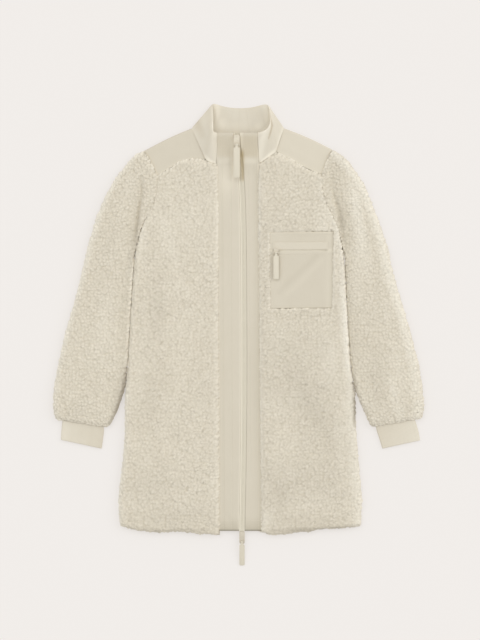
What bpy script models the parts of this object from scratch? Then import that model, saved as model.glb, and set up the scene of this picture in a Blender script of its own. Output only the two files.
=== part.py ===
"""A thigh-length sherpa jacket, zipped up and laid flat on its back.

Each piece that a maker would cut and sew on is one closed solid. Tables and sizes are in
millimetres. +X is the wearer's left, +Y runs up to the collar and +Z is up from the
surface that the jacket lies on. The origin is under the middle of the whole outline.
"Right" and "left" are the wearer's.
"""
import math
from collections import namedtuple

import bmesh
import bpy
from mathutils import Matrix, Vector

MM = 0.001

# ---- cloth, mm
SEAM = 0.3              # gap between two pieces that are sewn together
SHERPA = 8.2            # backing and pile
WOVEN = 2.2             # doubled woven cloth
YOKE = 2.0
RIB = 3.0
CUFF_HEIGHT = 6.6       # both layers of a cuff that lies flat

# ---- levels above the surface, mm
FRONT_BASE = SHERPA + SEAM
SLEEVE_MIDDLE = SHERPA + SEAM / 2
PLACKET_BASE = FRONT_BASE + 0.2
POCKET_BED = FRONT_BASE + 2.9       # the pile is pressed flat under the pocket
POCKET_BASE = POCKET_BED + SEAM
POCKET_TOP = POCKET_BASE + WOVEN

# ---- zips, mm
ZIP_WIDTH = 12.0
ZIP_THICK = 2.0
WELT = 1.2

# Each edge of a panel is rounded off: radius, and the share of the height left at the cut.
Edge = namedtuple("Edge", "radius rim")
SIDE_EDGE = Edge(radius=8.2, rim=0.07)
ARMHOLE_EDGE = Edge(radius=3.5, rim=0.72)
HEM_EDGE = Edge(radius=7.0, rim=0.25)
PILE_EDGE = Edge(radius=5.0, rim=0.45)

Spot = namedtuple("Spot", "x y")

# ---- the outline, from the shoulder down the armhole to the underarm
ARMHOLE = {
    "right": [
        Spot(x=-199.3, y=390.0),
        Spot(x=-184.4, y=365.7),
        Spot(x=-171.7, y=338.0),
        Spot(x=-172.0, y=309.0),
        Spot(x=-179.0, y=281.0),
        Spot(x=-192.0, y=254.0),
        Spot(x=-206.0, y=223.0),
        Spot(x=-217.3, y=177.0),
    ],
    "left": [
        Spot(x=199.3, y=393.0),
        Spot(x=187.6, y=368.0),
        Spot(x=178.0, y=341.3),
        Spot(x=178.5, y=312.0),
        Spot(x=186.0, y=283.0),
        Spot(x=199.0, y=256.0),
        Spot(x=212.5, y=225.0),
        Spot(x=223.7, y=177.0),
    ],
}
BACK_YOKE_SPOT = 1      # where the yoke's back seam meets the armhole
YOKE_SPOT = 2           # where its front seam does

# ---- from the underarm down the side seam to the hem's corner
SIDE = {
    "right": [
        Spot(x=-217.3, y=177.0),
        Spot(x=-222.0, y=109.0),
        Spot(x=-225.3, y=62.5),
        Spot(x=-228.5, y=7.4),
        Spot(x=-231.7, y=-48.0),
        Spot(x=-236.4, y=-101.0),
        Spot(x=-238.5, y=-152.0),
        Spot(x=-239.0, y=-204.0),
        Spot(x=-242.5, y=-255.0),
        Spot(x=-248.5, y=-306.0),
        Spot(x=-253.0, y=-352.0),
        Spot(x=-253.3, y=-384.0),
        Spot(x=-248.0, y=-402.0),
    ],
    "left": [
        Spot(x=223.7, y=177.0),
        Spot(x=228.0, y=109.0),
        Spot(x=230.2, y=62.5),
        Spot(x=233.2, y=7.4),
        Spot(x=236.8, y=-48.0),
        Spot(x=242.6, y=-101.0),
        Spot(x=247.5, y=-152.0),
        Spot(x=250.5, y=-204.0),
        Spot(x=254.0, y=-255.0),
        Spot(x=258.6, y=-306.0),
        Spot(x=262.4, y=-352.0),
        Spot(x=263.2, y=-386.0),
        Spot(x=258.0, y=-404.0),
    ],
}

# ---- the hem of each front, from the placket to the side
HEM = {
    "right": [
        Spot(x=-40.3, y=-422.0),
        Spot(x=-76.3, y=-420.8),
        Spot(x=-110.0, y=-416.6),
        Spot(x=-144.0, y=-414.5),
        Spot(x=-195.0, y=-414.5),
        Spot(x=-229.0, y=-409.5),
        Spot(x=-248.0, y=-402.0),
    ],
    "left": [
        Spot(x=51.5, y=-416.0),
        Spot(x=76.3, y=-422.5),
        Spot(x=110.0, y=-418.7),
        Spot(x=144.0, y=-414.5),
        Spot(x=178.0, y=-410.5),
        Spot(x=229.0, y=-409.0),
        Spot(x=258.0, y=-404.0),
    ],
}
BACK_HEM_RISE = 3.0     # the back's hem lies this far above the fronts'
BACK_HEM_MIDDLE = Spot(x=4.0, y=-408.0)
BACK_COLUMNS = 14       # faces across the back, between its round side edges

# ---- the top of each front: neck, then the seam with the yoke, out to the armhole
FRONT_TOP = {
    "right": [
        Spot(x=-44.0, y=362.5),
        Spot(x=-67.8, y=371.0),
        Spot(x=-95.4, y=374.2),
        Spot(x=-120.8, y=370.0),
        Spot(x=-144.2, y=354.5),
        Spot(x=-171.7, y=338.0),
    ],
    "left": [
        Spot(x=43.5, y=363.6),
        Spot(x=55.0, y=370.5),
        Spot(x=80.6, y=389.0),
        Spot(x=116.6, y=371.0),
        Spot(x=143.0, y=353.5),
        Spot(x=178.0, y=341.3),
    ],
}
NECK_SPOT = {"right": 1, "left": 2}     # where the yoke begins
CENTRE_LOW = 20.0       # the front's inner edge takes the placket's corners from this far
CENTRE_HIGH = 10.0      # above the hem to this far below the neck

# ---- each yoke: the shoulder's fold, from the neck to the armhole, and its back seam
SHOULDER = {
    "right": [
        Spot(x=-97.5, y=438.0),
        Spot(x=-125.0, y=427.0),
        Spot(x=-152.6, y=414.5),
        Spot(x=-199.3, y=390.0),
    ],
    "left": [
        Spot(x=97.5, y=438.0),
        Spot(x=125.0, y=428.5),
        Spot(x=152.6, y=416.5),
        Spot(x=199.3, y=393.0),
    ],
}
BACK_NECK = [
    Spot(x=-62.0, y=428.5),
    Spot(x=-35.0, y=420.0),
    Spot(x=0.0, y=417.0),
    Spot(x=35.0, y=420.0),
    Spot(x=62.0, y=428.5),
]
SHOULDER_RADIUS = 4.9   # of the fold, to the outside of the cloth
SHOULDER_INWARD = Spot(x=0.42, y=-0.9)      # from the right shoulder's line into the body
SHOULDER_STEPS = 6      # faces round the fold
NECK_STEPS = 2          # faces along the yoke's neck edge
YOKE_SEAM_LEVEL = FRONT_BASE + 0.3 + YOKE / 2

# ---- the middle: edges of the two plackets and the zip, from hem to collar rim. rise is
# ---- the height of the placket's face above its level on the body
Middle = namedtuple("Middle", "y right zip left rise")
MIDDLE = [
    Middle(y=-413.5, right=-39.8, zip=8.5, left=51.0, rise=0.0),
    Middle(y=-395.0, right=-39.8, zip=8.8, left=50.8, rise=0.0),
    Middle(y=-320.0, right=-40.0, zip=10.2, left=49.6, rise=0.4),
    Middle(y=-240.0, right=-40.4, zip=11.5, left=48.4, rise=0.0),
    Middle(y=-160.0, right=-40.8, zip=12.3, left=47.6, rise=0.5),
    Middle(y=-80.0, right=-41.2, zip=12.7, left=46.9, rise=0.2),
    Middle(y=0.0, right=-41.6, zip=12.7, left=46.2, rise=0.0),
    Middle(y=80.0, right=-42.0, zip=12.4, left=45.6, rise=0.5),
    Middle(y=160.0, right=-42.4, zip=12.0, left=45.0, rise=0.2),
    Middle(y=240.0, right=-42.9, zip=10.8, left=44.4, rise=0.0),
    Middle(y=300.0, right=-43.3, zip=8.8, left=44.0, rise=0.2),
    Middle(y=340.0, right=-43.6, zip=6.4, left=43.7, rise=0.6),
    Middle(y=360.0, right=-43.8, zip=4.8, left=43.4, rise=2.2),
    Middle(y=371.0, right=-43.8, zip=3.5, left=43.0, rise=4.6),
    Middle(y=382.0, right=-43.7, zip=2.0, left=42.4, rise=5.8),
    Middle(y=398.0, right=-43.6, zip=-0.6, left=41.6, rise=8.6),
    Middle(y=414.0, right=-43.5, zip=-2.4, left=41.0, rise=12.4),
    Middle(y=428.0, right=-43.5, zip=-3.4, left=40.6, rise=16.0),
]
PLACKET_CROWN = 1.4     # how far the placket swells towards the zip
PLACKET_SHARES = [0.0, 0.12, 0.45, 0.8, 1.0]    # columns across a placket, edge to zip
ZIP_SINK = 0.8          # the zip's face lies this far under the placket's edge
ZIP_RIDGE = 0.5         # height of the chain above the tapes
ZIP_SHARES = [-0.5, -0.22, 0.0, 0.22, 0.5]      # columns across the zip
CHAIN_SHARE = 0.3       # the chain lies within this share of the zip's width

# ---- the collar: one row for each upright line of the rib, round from the right front edge
# ---- past the back to the left. Each has its foot, its rim and its outward swell.
Rib = namedtuple("Rib", "foot_x foot_y foot_z rim_x rim_y rim_z swell")
COLLAR = [
    Rib(foot_x=-45.6, foot_y=365.5, foot_z=10.6, rim_x=-45.4, rim_y=428.0, rim_z=26.0, swell=0.0),
    Rib(foot_x=-52.0, foot_y=367.5, foot_z=12.0, rim_x=-50.5, rim_y=430.0, rim_z=31.0, swell=1.5),
    Rib(foot_x=-60.0, foot_y=370.5, foot_z=12.6, rim_x=-52.6, rim_y=436.0, rim_z=33.0, swell=2.5),
    Rib(foot_x=-66.8, foot_y=374.5, foot_z=12.2, rim_x=-52.9, rim_y=445.0, rim_z=31.5, swell=3.0),
    Rib(foot_x=-72.4, foot_y=386.0, foot_z=11.8, rim_x=-52.6, rim_y=456.0, rim_z=28.0, swell=2.5),
    Rib(foot_x=-80.9, foot_y=405.0, foot_z=11.0, rim_x=-52.8, rim_y=468.0, rim_z=23.0, swell=2.0),
    Rib(foot_x=-88.4, foot_y=422.0, foot_z=9.8, rim_x=-53.4, rim_y=479.0, rim_z=17.0, swell=1.5),
    Rib(foot_x=-93.6, foot_y=434.0, foot_z=8.4, rim_x=-53.8, rim_y=487.0, rim_z=11.0, swell=0.8),
    Rib(foot_x=-94.6, foot_y=441.0, foot_z=5.6, rim_x=-52.2, rim_y=490.2, rim_z=6.2, swell=0.0),
    Rib(foot_x=-88.0, foot_y=442.0, foot_z=2.4, rim_x=-46.0, rim_y=490.0, rim_z=2.6, swell=0.0),
    Rib(foot_x=-74.0, foot_y=437.5, foot_z=1.6, rim_x=-36.0, rim_y=487.0, rim_z=1.6, swell=0.0),
    Rib(foot_x=-56.0, foot_y=428.6, foot_z=1.6, rim_x=-26.0, rim_y=484.5, rim_z=1.6, swell=0.0),
    Rib(foot_x=-34.0, foot_y=422.0, foot_z=1.6, rim_x=-14.0, rim_y=482.6, rim_z=1.6, swell=0.0),
    Rib(foot_x=0.0, foot_y=419.0, foot_z=1.6, rim_x=4.0, rim_y=481.6, rim_z=1.6, swell=0.0),
    Rib(foot_x=34.0, foot_y=422.0, foot_z=1.6, rim_x=22.0, rim_y=482.6, rim_z=1.6, swell=0.0),
    Rib(foot_x=56.0, foot_y=428.6, foot_z=1.6, rim_x=34.0, rim_y=484.5, rim_z=1.6, swell=0.0),
    Rib(foot_x=74.0, foot_y=437.5, foot_z=1.6, rim_x=44.0, rim_y=487.0, rim_z=1.6, swell=0.0),
    Rib(foot_x=88.0, foot_y=442.0, foot_z=2.4, rim_x=54.0, rim_y=489.2, rim_z=2.6, swell=0.0),
    Rib(foot_x=94.6, foot_y=441.0, foot_z=5.6, rim_x=61.0, rim_y=489.0, rim_z=6.2, swell=0.0),
    Rib(foot_x=93.9, foot_y=434.0, foot_z=8.4, rim_x=64.5, rim_y=485.0, rim_z=11.0, swell=0.8),
    Rib(foot_x=89.3, foot_y=421.0, foot_z=9.8, rim_x=66.0, rim_y=477.0, rim_z=17.0, swell=1.5),
    Rib(foot_x=83.6, foot_y=404.0, foot_z=11.0, rim_x=67.0, rim_y=467.0, rim_z=23.0, swell=2.0),
    Rib(foot_x=78.8, foot_y=390.5, foot_z=11.8, rim_x=68.0, rim_y=456.0, rim_z=28.0, swell=2.5),
    Rib(foot_x=68.0, foot_y=382.5, foot_z=12.2, rim_x=66.4, rim_y=445.0, rim_z=31.5, swell=3.0),
    Rib(foot_x=59.0, foot_y=376.0, foot_z=12.6, rim_x=61.0, rim_y=436.0, rim_z=33.0, swell=2.5),
    Rib(foot_x=51.5, foot_y=371.0, foot_z=12.0, rim_x=51.5, rim_y=430.5, rim_z=31.0, swell=1.5),
    Rib(foot_x=44.9, foot_y=367.5, foot_z=10.6, rim_x=42.4, rim_y=428.5, rim_z=26.0, swell=0.0),
]
COLLAR_ROWS = 5
COLLAR_LOWEST = 0.05    # its back rests this far above the surface

# ---- each sleeve: a row for each ring, from the hem up, with the ends of the folded tube.
# ---- bend is the share of the armhole's curve that the ring follows, puff its extra height.
Ring = namedtuple("Ring", "outer_x outer_y inner_x inner_y bend puff")
SLEEVE = {
    "right": [
        Ring(outer_x=-383.5, outer_y=-177.5, inner_x=-276.5, inner_y=-193.5, bend=0.0, puff=-4.2),
        Ring(outer_x=-387.5, outer_y=-171.5, inner_x=-270.0, inner_y=-187.0, bend=0.0, puff=-0.8),
        Ring(outer_x=-391.0, outer_y=-150.0, inner_x=-259.5, inner_y=-168.0, bend=0.0, puff=0.6),
        Ring(outer_x=-389.0, outer_y=-111.0, inner_x=-248.5, inner_y=-139.0, bend=0.0, puff=0.6),
        Ring(outer_x=-379.5, outer_y=-60.5, inner_x=-238.6, inner_y=-101.0, bend=0.0, puff=0.2),
        Ring(outer_x=-367.8, outer_y=-5.5, inner_x=-232.9, inner_y=-48.0, bend=0.0, puff=0.5),
        Ring(outer_x=-352.0, outer_y=50.0, inner_x=-229.7, inner_y=7.4, bend=0.0, puff=0.8),
        Ring(outer_x=-337.0, outer_y=101.0, inner_x=-226.5, inner_y=62.5, bend=0.0, puff=0.3),
        Ring(outer_x=-326.5, outer_y=147.5, inner_x=-223.2, inner_y=109.0, bend=0.02, puff=0.6),
        Ring(outer_x=-316.0, outer_y=194.0, inner_x=-221.0, inner_y=141.0, bend=0.08, puff=0.8),
        Ring(outer_x=-301.0, outer_y=245.0, inner_x=-219.7, inner_y=158.5, bend=0.2, puff=0.6),
        Ring(outer_x=-282.0, outer_y=291.5, inner_x=-219.1, inner_y=166.5, bend=0.38, puff=0.4),
        Ring(outer_x=-258.5, outer_y=333.0, inner_x=-218.8, inner_y=171.0, bend=0.6, puff=0.2),
        Ring(outer_x=-230.5, outer_y=368.5, inner_x=-218.4, inner_y=174.5, bend=0.82, puff=0.0),
        Ring(outer_x=-214.5, outer_y=384.5, inner_x=-217.9, inner_y=175.8, bend=0.92, puff=0.0),
        Ring(outer_x=-199.3, outer_y=390.0, inner_x=-217.3, inner_y=177.0, bend=1.0, puff=0.0),
    ],
    "left": [
        Ring(outer_x=386.5, outer_y=-175.5, inner_x=284.5, inner_y=-192.5, bend=0.0, puff=-4.2),
        Ring(outer_x=390.5, outer_y=-169.5, inner_x=278.5, inner_y=-186.0, bend=0.0, puff=-0.8),
        Ring(outer_x=393.3, outer_y=-149.0, inner_x=270.0, inner_y=-165.0, bend=0.0, puff=0.6),
        Ring(outer_x=390.0, outer_y=-111.0, inner_x=259.0, inner_y=-141.0, bend=0.0, puff=0.6),
        Ring(outer_x=382.5, outer_y=-64.5, inner_x=245.4, inner_y=-104.0, bend=0.0, puff=0.2),
        Ring(outer_x=370.0, outer_y=-14.0, inner_x=238.6, inner_y=-56.0, bend=0.0, puff=0.5),
        Ring(outer_x=356.0, outer_y=37.0, inner_x=234.9, inner_y=-1.0, bend=0.0, puff=0.8),
        Ring(outer_x=340.3, outer_y=88.0, inner_x=231.8, inner_y=54.0, bend=0.0, puff=0.3),
        Ring(outer_x=326.5, outer_y=139.0, inner_x=229.6, inner_y=101.0, bend=0.02, puff=0.6),
        Ring(outer_x=316.8, outer_y=185.5, inner_x=227.6, inner_y=137.0, bend=0.08, puff=0.8),
        Ring(outer_x=300.5, outer_y=232.0, inner_x=226.2, inner_y=157.0, bend=0.2, puff=0.6),
        Ring(outer_x=284.0, outer_y=277.0, inner_x=225.6, inner_y=166.0, bend=0.38, puff=0.4),
        Ring(outer_x=266.0, outer_y=321.0, inner_x=225.2, inner_y=171.0, bend=0.6, puff=0.2),
        Ring(outer_x=236.0, outer_y=365.0, inner_x=224.8, inner_y=174.5, bend=0.82, puff=0.0),
        Ring(outer_x=222.0, outer_y=379.0, inner_x=224.2, inner_y=175.8, bend=0.92, puff=0.0),
        Ring(outer_x=199.3, outer_y=393.0, inner_x=223.7, inner_y=177.0, bend=1.0, puff=0.0),
    ],
}
SLEEVE_RADIUS = 8.2
SLEEVE_SLIT = 0.35      # half the slit between the two layers
PRESSED = -1.0          # a ring with less puff than this is pressed from below as well
FOLD_WALL = 0.4         # growth of the cloth's depth away from a tube's two folds

# ---- each cuff: two ends of the flat tube, from the sleeve to the hand. middle is the
# ---- height of the tube's fold above the surface
Cuff = namedtuple("Cuff", "outer_x outer_y inner_x inner_y middle")
CUFF = {
    "right": [
        Cuff(outer_x=-371.0, outer_y=-179.7, inner_x=-284.5, inner_y=-192.6, middle=6.2),
        Cuff(outer_x=-373.0, outer_y=-190.0, inner_x=-284.0, inner_y=-203.2, middle=4.6),
        Cuff(outer_x=-374.5, outer_y=-206.0, inner_x=-286.0, inner_y=-219.5, middle=3.5),
        Cuff(outer_x=-375.2, outer_y=-217.0, inner_x=-288.0, inner_y=-233.5, middle=3.3),
        Cuff(outer_x=-375.0, outer_y=-221.0, inner_x=-289.2, inner_y=-239.5, middle=3.3),
    ],
    "left": [
        Cuff(outer_x=374.5, outer_y=-177.8, inner_x=291.5, inner_y=-191.7, middle=6.2),
        Cuff(outer_x=378.0, outer_y=-188.0, inner_x=294.0, inner_y=-202.0, middle=4.6),
        Cuff(outer_x=382.5, outer_y=-204.0, inner_x=299.5, inner_y=-219.0, middle=3.5),
        Cuff(outer_x=385.0, outer_y=-217.5, inner_x=304.0, inner_y=-234.0, middle=3.3),
        Cuff(outer_x=385.6, outer_y=-222.0, inner_x=306.0, inner_y=-239.5, middle=3.3),
    ],
}
CUFF_RADIUS = 3.3
CUFF_SHARES = [0.25, 0.5, 0.75]

# ---- the chest pocket on the left front
POCKET = [
    Spot(x=69.0, y=57.0),
    Spot(x=199.5, y=58.5),
    Spot(x=203.0, y=220.0),
    Spot(x=66.5, y=218.5),
]
POCKET_SPACING = 26.0
POCKET_ROUND = 0.5      # how far its edge is lower than its face
POCKET_BED_RIM = 1.0    # the pressed bed reaches this far past the pocket
POCKET_BED_SPACING = 200.0      # its cutter is one face across
WELT_LEFT = 73.0
WELT_RIGHT = 191.0
WELT_LOW = 178.0
WELT_HIGH = 197.5
WELT_SLANT = 1.0        # its left front end is this much higher
WELT_SHARES = [0.42, 0.58]      # where the zip's teeth lie across it
WELT_COLUMNS = 5
TEETH_RISE = 0.4

# ---- sliders and their pull tabs, mm
SLIDER_CORNER = 0.28    # share of a slider's width that its round corners take
SLIDER_LUG = 1.6
LUG_REACH = 1.8         # of a lug along the zip, either side of the bar
LUG_ROOT = 0.5          # how far a lug goes down into the slider
LUG_COVER = 1.5         # how far it rises over the bar
BAR_SINK = 0.5          # how far the bar's ends stay inside the lugs
SLIDER_BAR = 0.9        # radius of the bar that the pull turns on
LUG_GAP = 8.0           # between the two lugs
AXIS_RISE = 2.6         # of the bar above the slider's face
KNUCKLE = 2.0           # radius of the pull's eye
EYE = 1.3
KNUCKLE_WIDTH = 6.4
SLIM_SLIDER = 11.0      # a slider up to this wide takes a narrower eye
SLIM_LESS = 0.6
TAB_CORNER = 2.2        # radius of a tab's corners
NECK_THIN = 0.8         # share of the tab's thickness that its neck has
NECK_REACH = 6.0        # the narrow part of the pull, past the lugs
Slider = namedtuple("Slider", "x y z tilt width length height axis_shift")
Pull = namedtuple("Pull", "width length thick drop")
SLIDERS = {
    "slider_top": Slider(x=-2.9, y=411.5, z=25.0, tilt=13.9, width=13.0, length=26.0,
                         height=4.0, axis_shift=-7.0),
    "slider_bottom": Slider(x=8.5, y=-427.0, z=6.0, tilt=8.0, width=11.5, length=27.0,
                            height=4.0, axis_shift=-9.0),
    "pocket_slider": Slider(x=80.5, y=178.0, z=15.8, tilt=0.0, width=10.5, length=14.0,
                            height=2.2, axis_shift=-3.0),
}
PULLS = {
    "pull_top": Pull(width=13.5, length=70.0, thick=2.4, drop=4.0),
    "pull_bottom": Pull(width=11.0, length=51.0, thick=2.4, drop=10.9),
    "pocket_pull": Pull(width=11.5, length=56.0, thick=2.0, drop=1.5),
}

# ---- soft folds and swells of the fronts, the back and the sleeves' faces, mm
Fold = namedtuple("Fold", "x0 y0 x1 y1 width depth")
FOLDS = [
    Fold(x0=-150, y0=240, x1=-95, y1=20, width=38, depth=0.9),
    Fold(x0=-190, y0=-60, x1=-120, y1=-300, width=42, depth=1.0),
    Fold(x0=-70, y0=-120, x1=-85, y1=-340, width=30, depth=-0.7),
    Fold(x0=90, y0=-40, x1=150, y1=-210, width=40, depth=1.0),
    Fold(x0=205, y0=-120, x1=170, y1=-330, width=36, depth=0.9),
    Fold(x0=110, y0=300, x1=90, y1=240, width=34, depth=0.8),
    Fold(x0=-330, y0=60, x1=-250, y1=20, width=30, depth=1.2),
    Fold(x0=-360, y0=-60, x1=-280, y1=-110, width=26, depth=1.0),
    Fold(x0=330, y0=70, x1=250, y1=10, width=30, depth=1.2),
    Fold(x0=365, y0=-50, x1=290, y1=-95, width=26, depth=1.0),
    Fold(x0=-232, y0=330, x1=-224, y1=250, width=17, depth=2.2),
    Fold(x0=236, y0=320, x1=232, y1=240, width=17, depth=2.2),
]

# ---- looks of the solids: colour (linear), roughness, metallic
Look = namedtuple("Look", "colour roughness metallic")
LOOKS = {
    "pile": Look(colour=(0.72, 0.66, 0.53), roughness=0.95, metallic=0.0),
    "woven": Look(colour=(0.66, 0.61, 0.47), roughness=0.8, metallic=0.0),
    "rib": Look(colour=(0.70, 0.64, 0.51), roughness=0.9, metallic=0.0),
    "zip": Look(colour=(0.64, 0.58, 0.45), roughness=0.5, metallic=0.0),
    "metal": Look(colour=(0.62, 0.57, 0.46), roughness=0.4, metallic=0.3),
    "tab": Look(colour=(0.68, 0.62, 0.48), roughness=0.7, metallic=0.0),
}

ROUND_STEPS = [0.0, 0.134, 0.5, 1.0]    # 1 - cos of 0, 30, 60 and 90 degrees


# ---------------------------------------------------------------- lines in the plane

def flat(spots):
    """Table rows as plane vectors."""
    return [Vector((spot.x, spot.y)) for spot in spots]


def lengths(line):
    """Distance of each point of a line from its start."""
    total = [0.0]
    for a, b in zip(line, line[1:]):
        total.append(total[-1] + (b - a).length)
    return total


def at(line, distance):
    """The point of a line at a distance from its start."""
    total = lengths(line)
    for i in range(len(line) - 1):
        if distance <= total[i + 1] or i == len(line) - 2:
            span = total[i + 1] - total[i]
            return line[i].lerp(line[i + 1], (distance - total[i]) / span)


def inner_shares(line, start, end):
    """Where a line's own corners lie between its two rounded ends, from 0 to 1."""
    total = lengths(line)
    run = total[-1] - start - end
    return [(t - start) / run for t in total[1:-1] if 0.02 < (t - start) / run < 0.98]


def spread(line, start, end, shares):
    """Points along a line: close together in its rounded ends, at the shares between."""
    length = lengths(line)[-1]
    run = length - start - end
    places = [step * start for step in ROUND_STEPS]
    places += [start + share * run for share in shares]
    places += [length - step * end for step in reversed(ROUND_STEPS)]
    return [at(line, place) for place in places]


def evenly(line, count):
    """Points at equal steps along a line."""
    length = lengths(line)[-1]
    return [at(line, length * i / (count - 1)) for i in range(count)]


# ---------------------------------------------------------------- grids

def shares_of(one, other):
    """Mean share of each point along two lines that face each other."""
    a, b = lengths(one), lengths(other)
    return [(s / a[-1] + t / b[-1]) / 2 for s, t in zip(a, b)]


def patch(bottom, top, first, last):
    """A plane grid between four edges. first and last run from bottom to top."""
    across = shares_of(bottom, top)
    up = shares_of(first, last)
    grid = []
    for v, left, right in zip(up, first, last):
        row = []
        for u, low, high in zip(across, bottom, top):
            ruled = left.lerp(right, u) + low.lerp(high, v)
            corners = bottom[0].lerp(bottom[-1], u).lerp(top[0].lerp(top[-1], u), v)
            row.append(ruled - corners)
        grid.append(row)
    return grid


def rounding(distance, edge):
    """Share of the full height at a distance from an edge."""
    inside = min(distance / edge.radius, 1.0)
    return edge.rim + (1 - edge.rim) * math.sqrt(1 - (1 - inside) ** 2)


def fold_depth(point):
    """How far the folds lower the face at a point."""
    depth = 0.0
    for fold in FOLDS:
        start, end = Vector((fold.x0, fold.y0)), Vector((fold.x1, fold.y1))
        run = end - start
        share = min(max((point - start).dot(run) / run.length_squared, 0.0), 1.0)
        away = (point - start - run * share).length / fold.width
        depth += fold.depth * math.exp(-away * away)
    return depth


def heights(grid, low, high, first, last):
    """Share of the full height at each grid point. last is one edge for each row."""
    out = []
    for i, row in enumerate(grid):
        line = []
        for j, point in enumerate(row):
            line.append(min(
                rounding((point - grid[0][j]).length, low),
                rounding((point - grid[-1][j]).length, high),
                rounding((point - row[0]).length, first[i]),
                rounding((point - row[-1]).length, last[i]),
            ))
        out.append(line)
    return out


def lifted(grid, level):
    """A plane grid at heights given by a function of row, column and point."""
    return [
        [Vector((p.x, p.y, level(i, j, p))) for j, p in enumerate(row)]
        for i, row in enumerate(grid)
    ]


def normals(grid, wrap=False):
    """Unit normals of a grid of points in space."""
    rows, columns = len(grid), len(grid[0])
    out = []
    for i in range(rows):
        line = []
        for j in range(columns):
            before = grid[i][(j - 1) % columns if wrap else max(j - 1, 0)]
            after = grid[i][(j + 1) % columns if wrap else min(j + 1, columns - 1)]
            up = grid[min(i + 1, rows - 1)][j] - grid[max(i - 1, 0)][j]
            line.append((after - before).cross(up).normalized())
        out.append(line)
    return out


def thickened(grid, thickness):
    """The two faces of a wall about a middle surface."""
    sides = []
    directions = normals(grid)
    for sign in (0.5, -0.5):
        sides.append([
            [p + n * thickness * sign for p, n in zip(row, line)]
            for row, line in zip(grid, directions)
        ])
    return sides


# ---------------------------------------------------------------- solids

def material(look_name):
    """The Principled material of a look."""
    look = LOOKS[look_name]
    made = bpy.data.materials.new(look_name)
    made.use_nodes = True
    shader = made.node_tree.nodes["Principled BSDF"]
    shader.inputs["Base Color"].default_value = (*look.colour, 1.0)
    shader.inputs["Roughness"].default_value = look.roughness
    shader.inputs["Metallic"].default_value = look.metallic
    made.diffuse_color = (*look.colour, 1.0)
    return made


def finished(mesh_builder, name, look_name, collection, origin=Vector((0, 0, 0))):
    """A named object made from a bmesh in millimetres, with its origin at a given place."""
    bmesh.ops.recalc_face_normals(mesh_builder, faces=mesh_builder.faces)
    bmesh.ops.translate(mesh_builder, vec=-origin, verts=mesh_builder.verts)
    bmesh.ops.scale(mesh_builder, vec=(MM, MM, MM), verts=mesh_builder.verts)
    mesh = bpy.data.meshes.new(name)
    mesh_builder.to_mesh(mesh)
    mesh_builder.free()
    mesh.materials.append(material(look_name))
    thing = bpy.data.objects.new(name, mesh)
    thing.location = origin * MM
    collection.objects.link(thing)
    return thing


def wall(name, look_name, collection, outer, inner, wrap=False):
    """A closed wall between two grids. With wrap each row is a ring, so it is a tube."""
    builder = bmesh.new()
    faces = []
    for grid in (outer, inner):
        faces.append([[builder.verts.new(p) for p in row] for row in grid])
    rows, columns = len(outer), len(outer[0])
    steps = columns if wrap else columns - 1
    for side in faces:
        for i in range(rows - 1):
            for j in range(steps):
                k = (j + 1) % columns
                builder.faces.new((side[i][j], side[i][k], side[i + 1][k], side[i + 1][j]))
    one, other = faces
    for i in (0, rows - 1):
        for j in range(steps):
            k = (j + 1) % columns
            builder.faces.new((one[i][j], other[i][j], other[i][k], one[i][k]))
    for j in (() if wrap else (0, columns - 1)):
        for i in range(rows - 1):
            builder.faces.new((one[i][j], other[i][j], other[i + 1][j], one[i + 1][j]))
    return finished(builder, name, look_name, collection)


# ---------------------------------------------------------------- body

def outer_edges(grid):
    """The side seam's edge below the underarm and the armhole's above it, for each row."""
    underarm = ARMHOLE["right"][-1].y
    return [SIDE_EDGE if row[-1].y < underarm + 1 else ARMHOLE_EDGE for row in grid]


def front(side, collection):
    """One sherpa front, from its placket to the side seam and armhole."""
    armhole = flat(ARMHOLE[side])[YOKE_SPOT:]
    sign = 1 if side == "right" else -1
    outer = list(reversed(flat(SIDE[side])))
    outer += [p + Vector((sign * SEAM / 2, 0)) for p in list(reversed(armhole))[1:]]
    top = flat(FRONT_TOP[side])
    top = [p + Vector((0, -SEAM / 2)) for p in top]
    top[-1] = outer[-1] = Vector((outer[-1].x, top[-1].y))
    hem = flat(HEM[side])
    centre = [Vector((getattr(row, side) - sign * SEAM, row.y)) for row in MIDDLE]
    low, high = hem[0].y + CENTRE_LOW, top[0].y - CENTRE_HIGH
    centre = [hem[0]] + [p for p in centre if low < p.y < high] + [top[0]]
    across = inner_shares(top, PILE_EDGE.radius, SIDE_EDGE.radius)
    up = inner_shares(outer, HEM_EDGE.radius, PILE_EDGE.radius)
    plan = patch(
        spread(hem, PILE_EDGE.radius, SIDE_EDGE.radius, across),
        spread(top, PILE_EDGE.radius, SIDE_EDGE.radius, across),
        spread(centre, HEM_EDGE.radius, PILE_EDGE.radius, up),
        spread(outer, HEM_EDGE.radius, PILE_EDGE.radius, up),
    )
    share = heights(plan, HEM_EDGE, PILE_EDGE, [PILE_EDGE] * len(plan), outer_edges(plan))

    def face(i, j, p):
        return FRONT_BASE + (SHERPA - fold_depth(p)) * share[i][j]

    upper = lifted(plan, face)
    lower = lifted(plan, lambda i, j, p: FRONT_BASE)
    return wall(f"front_{side}", "pile", collection, upper, lower)


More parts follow.
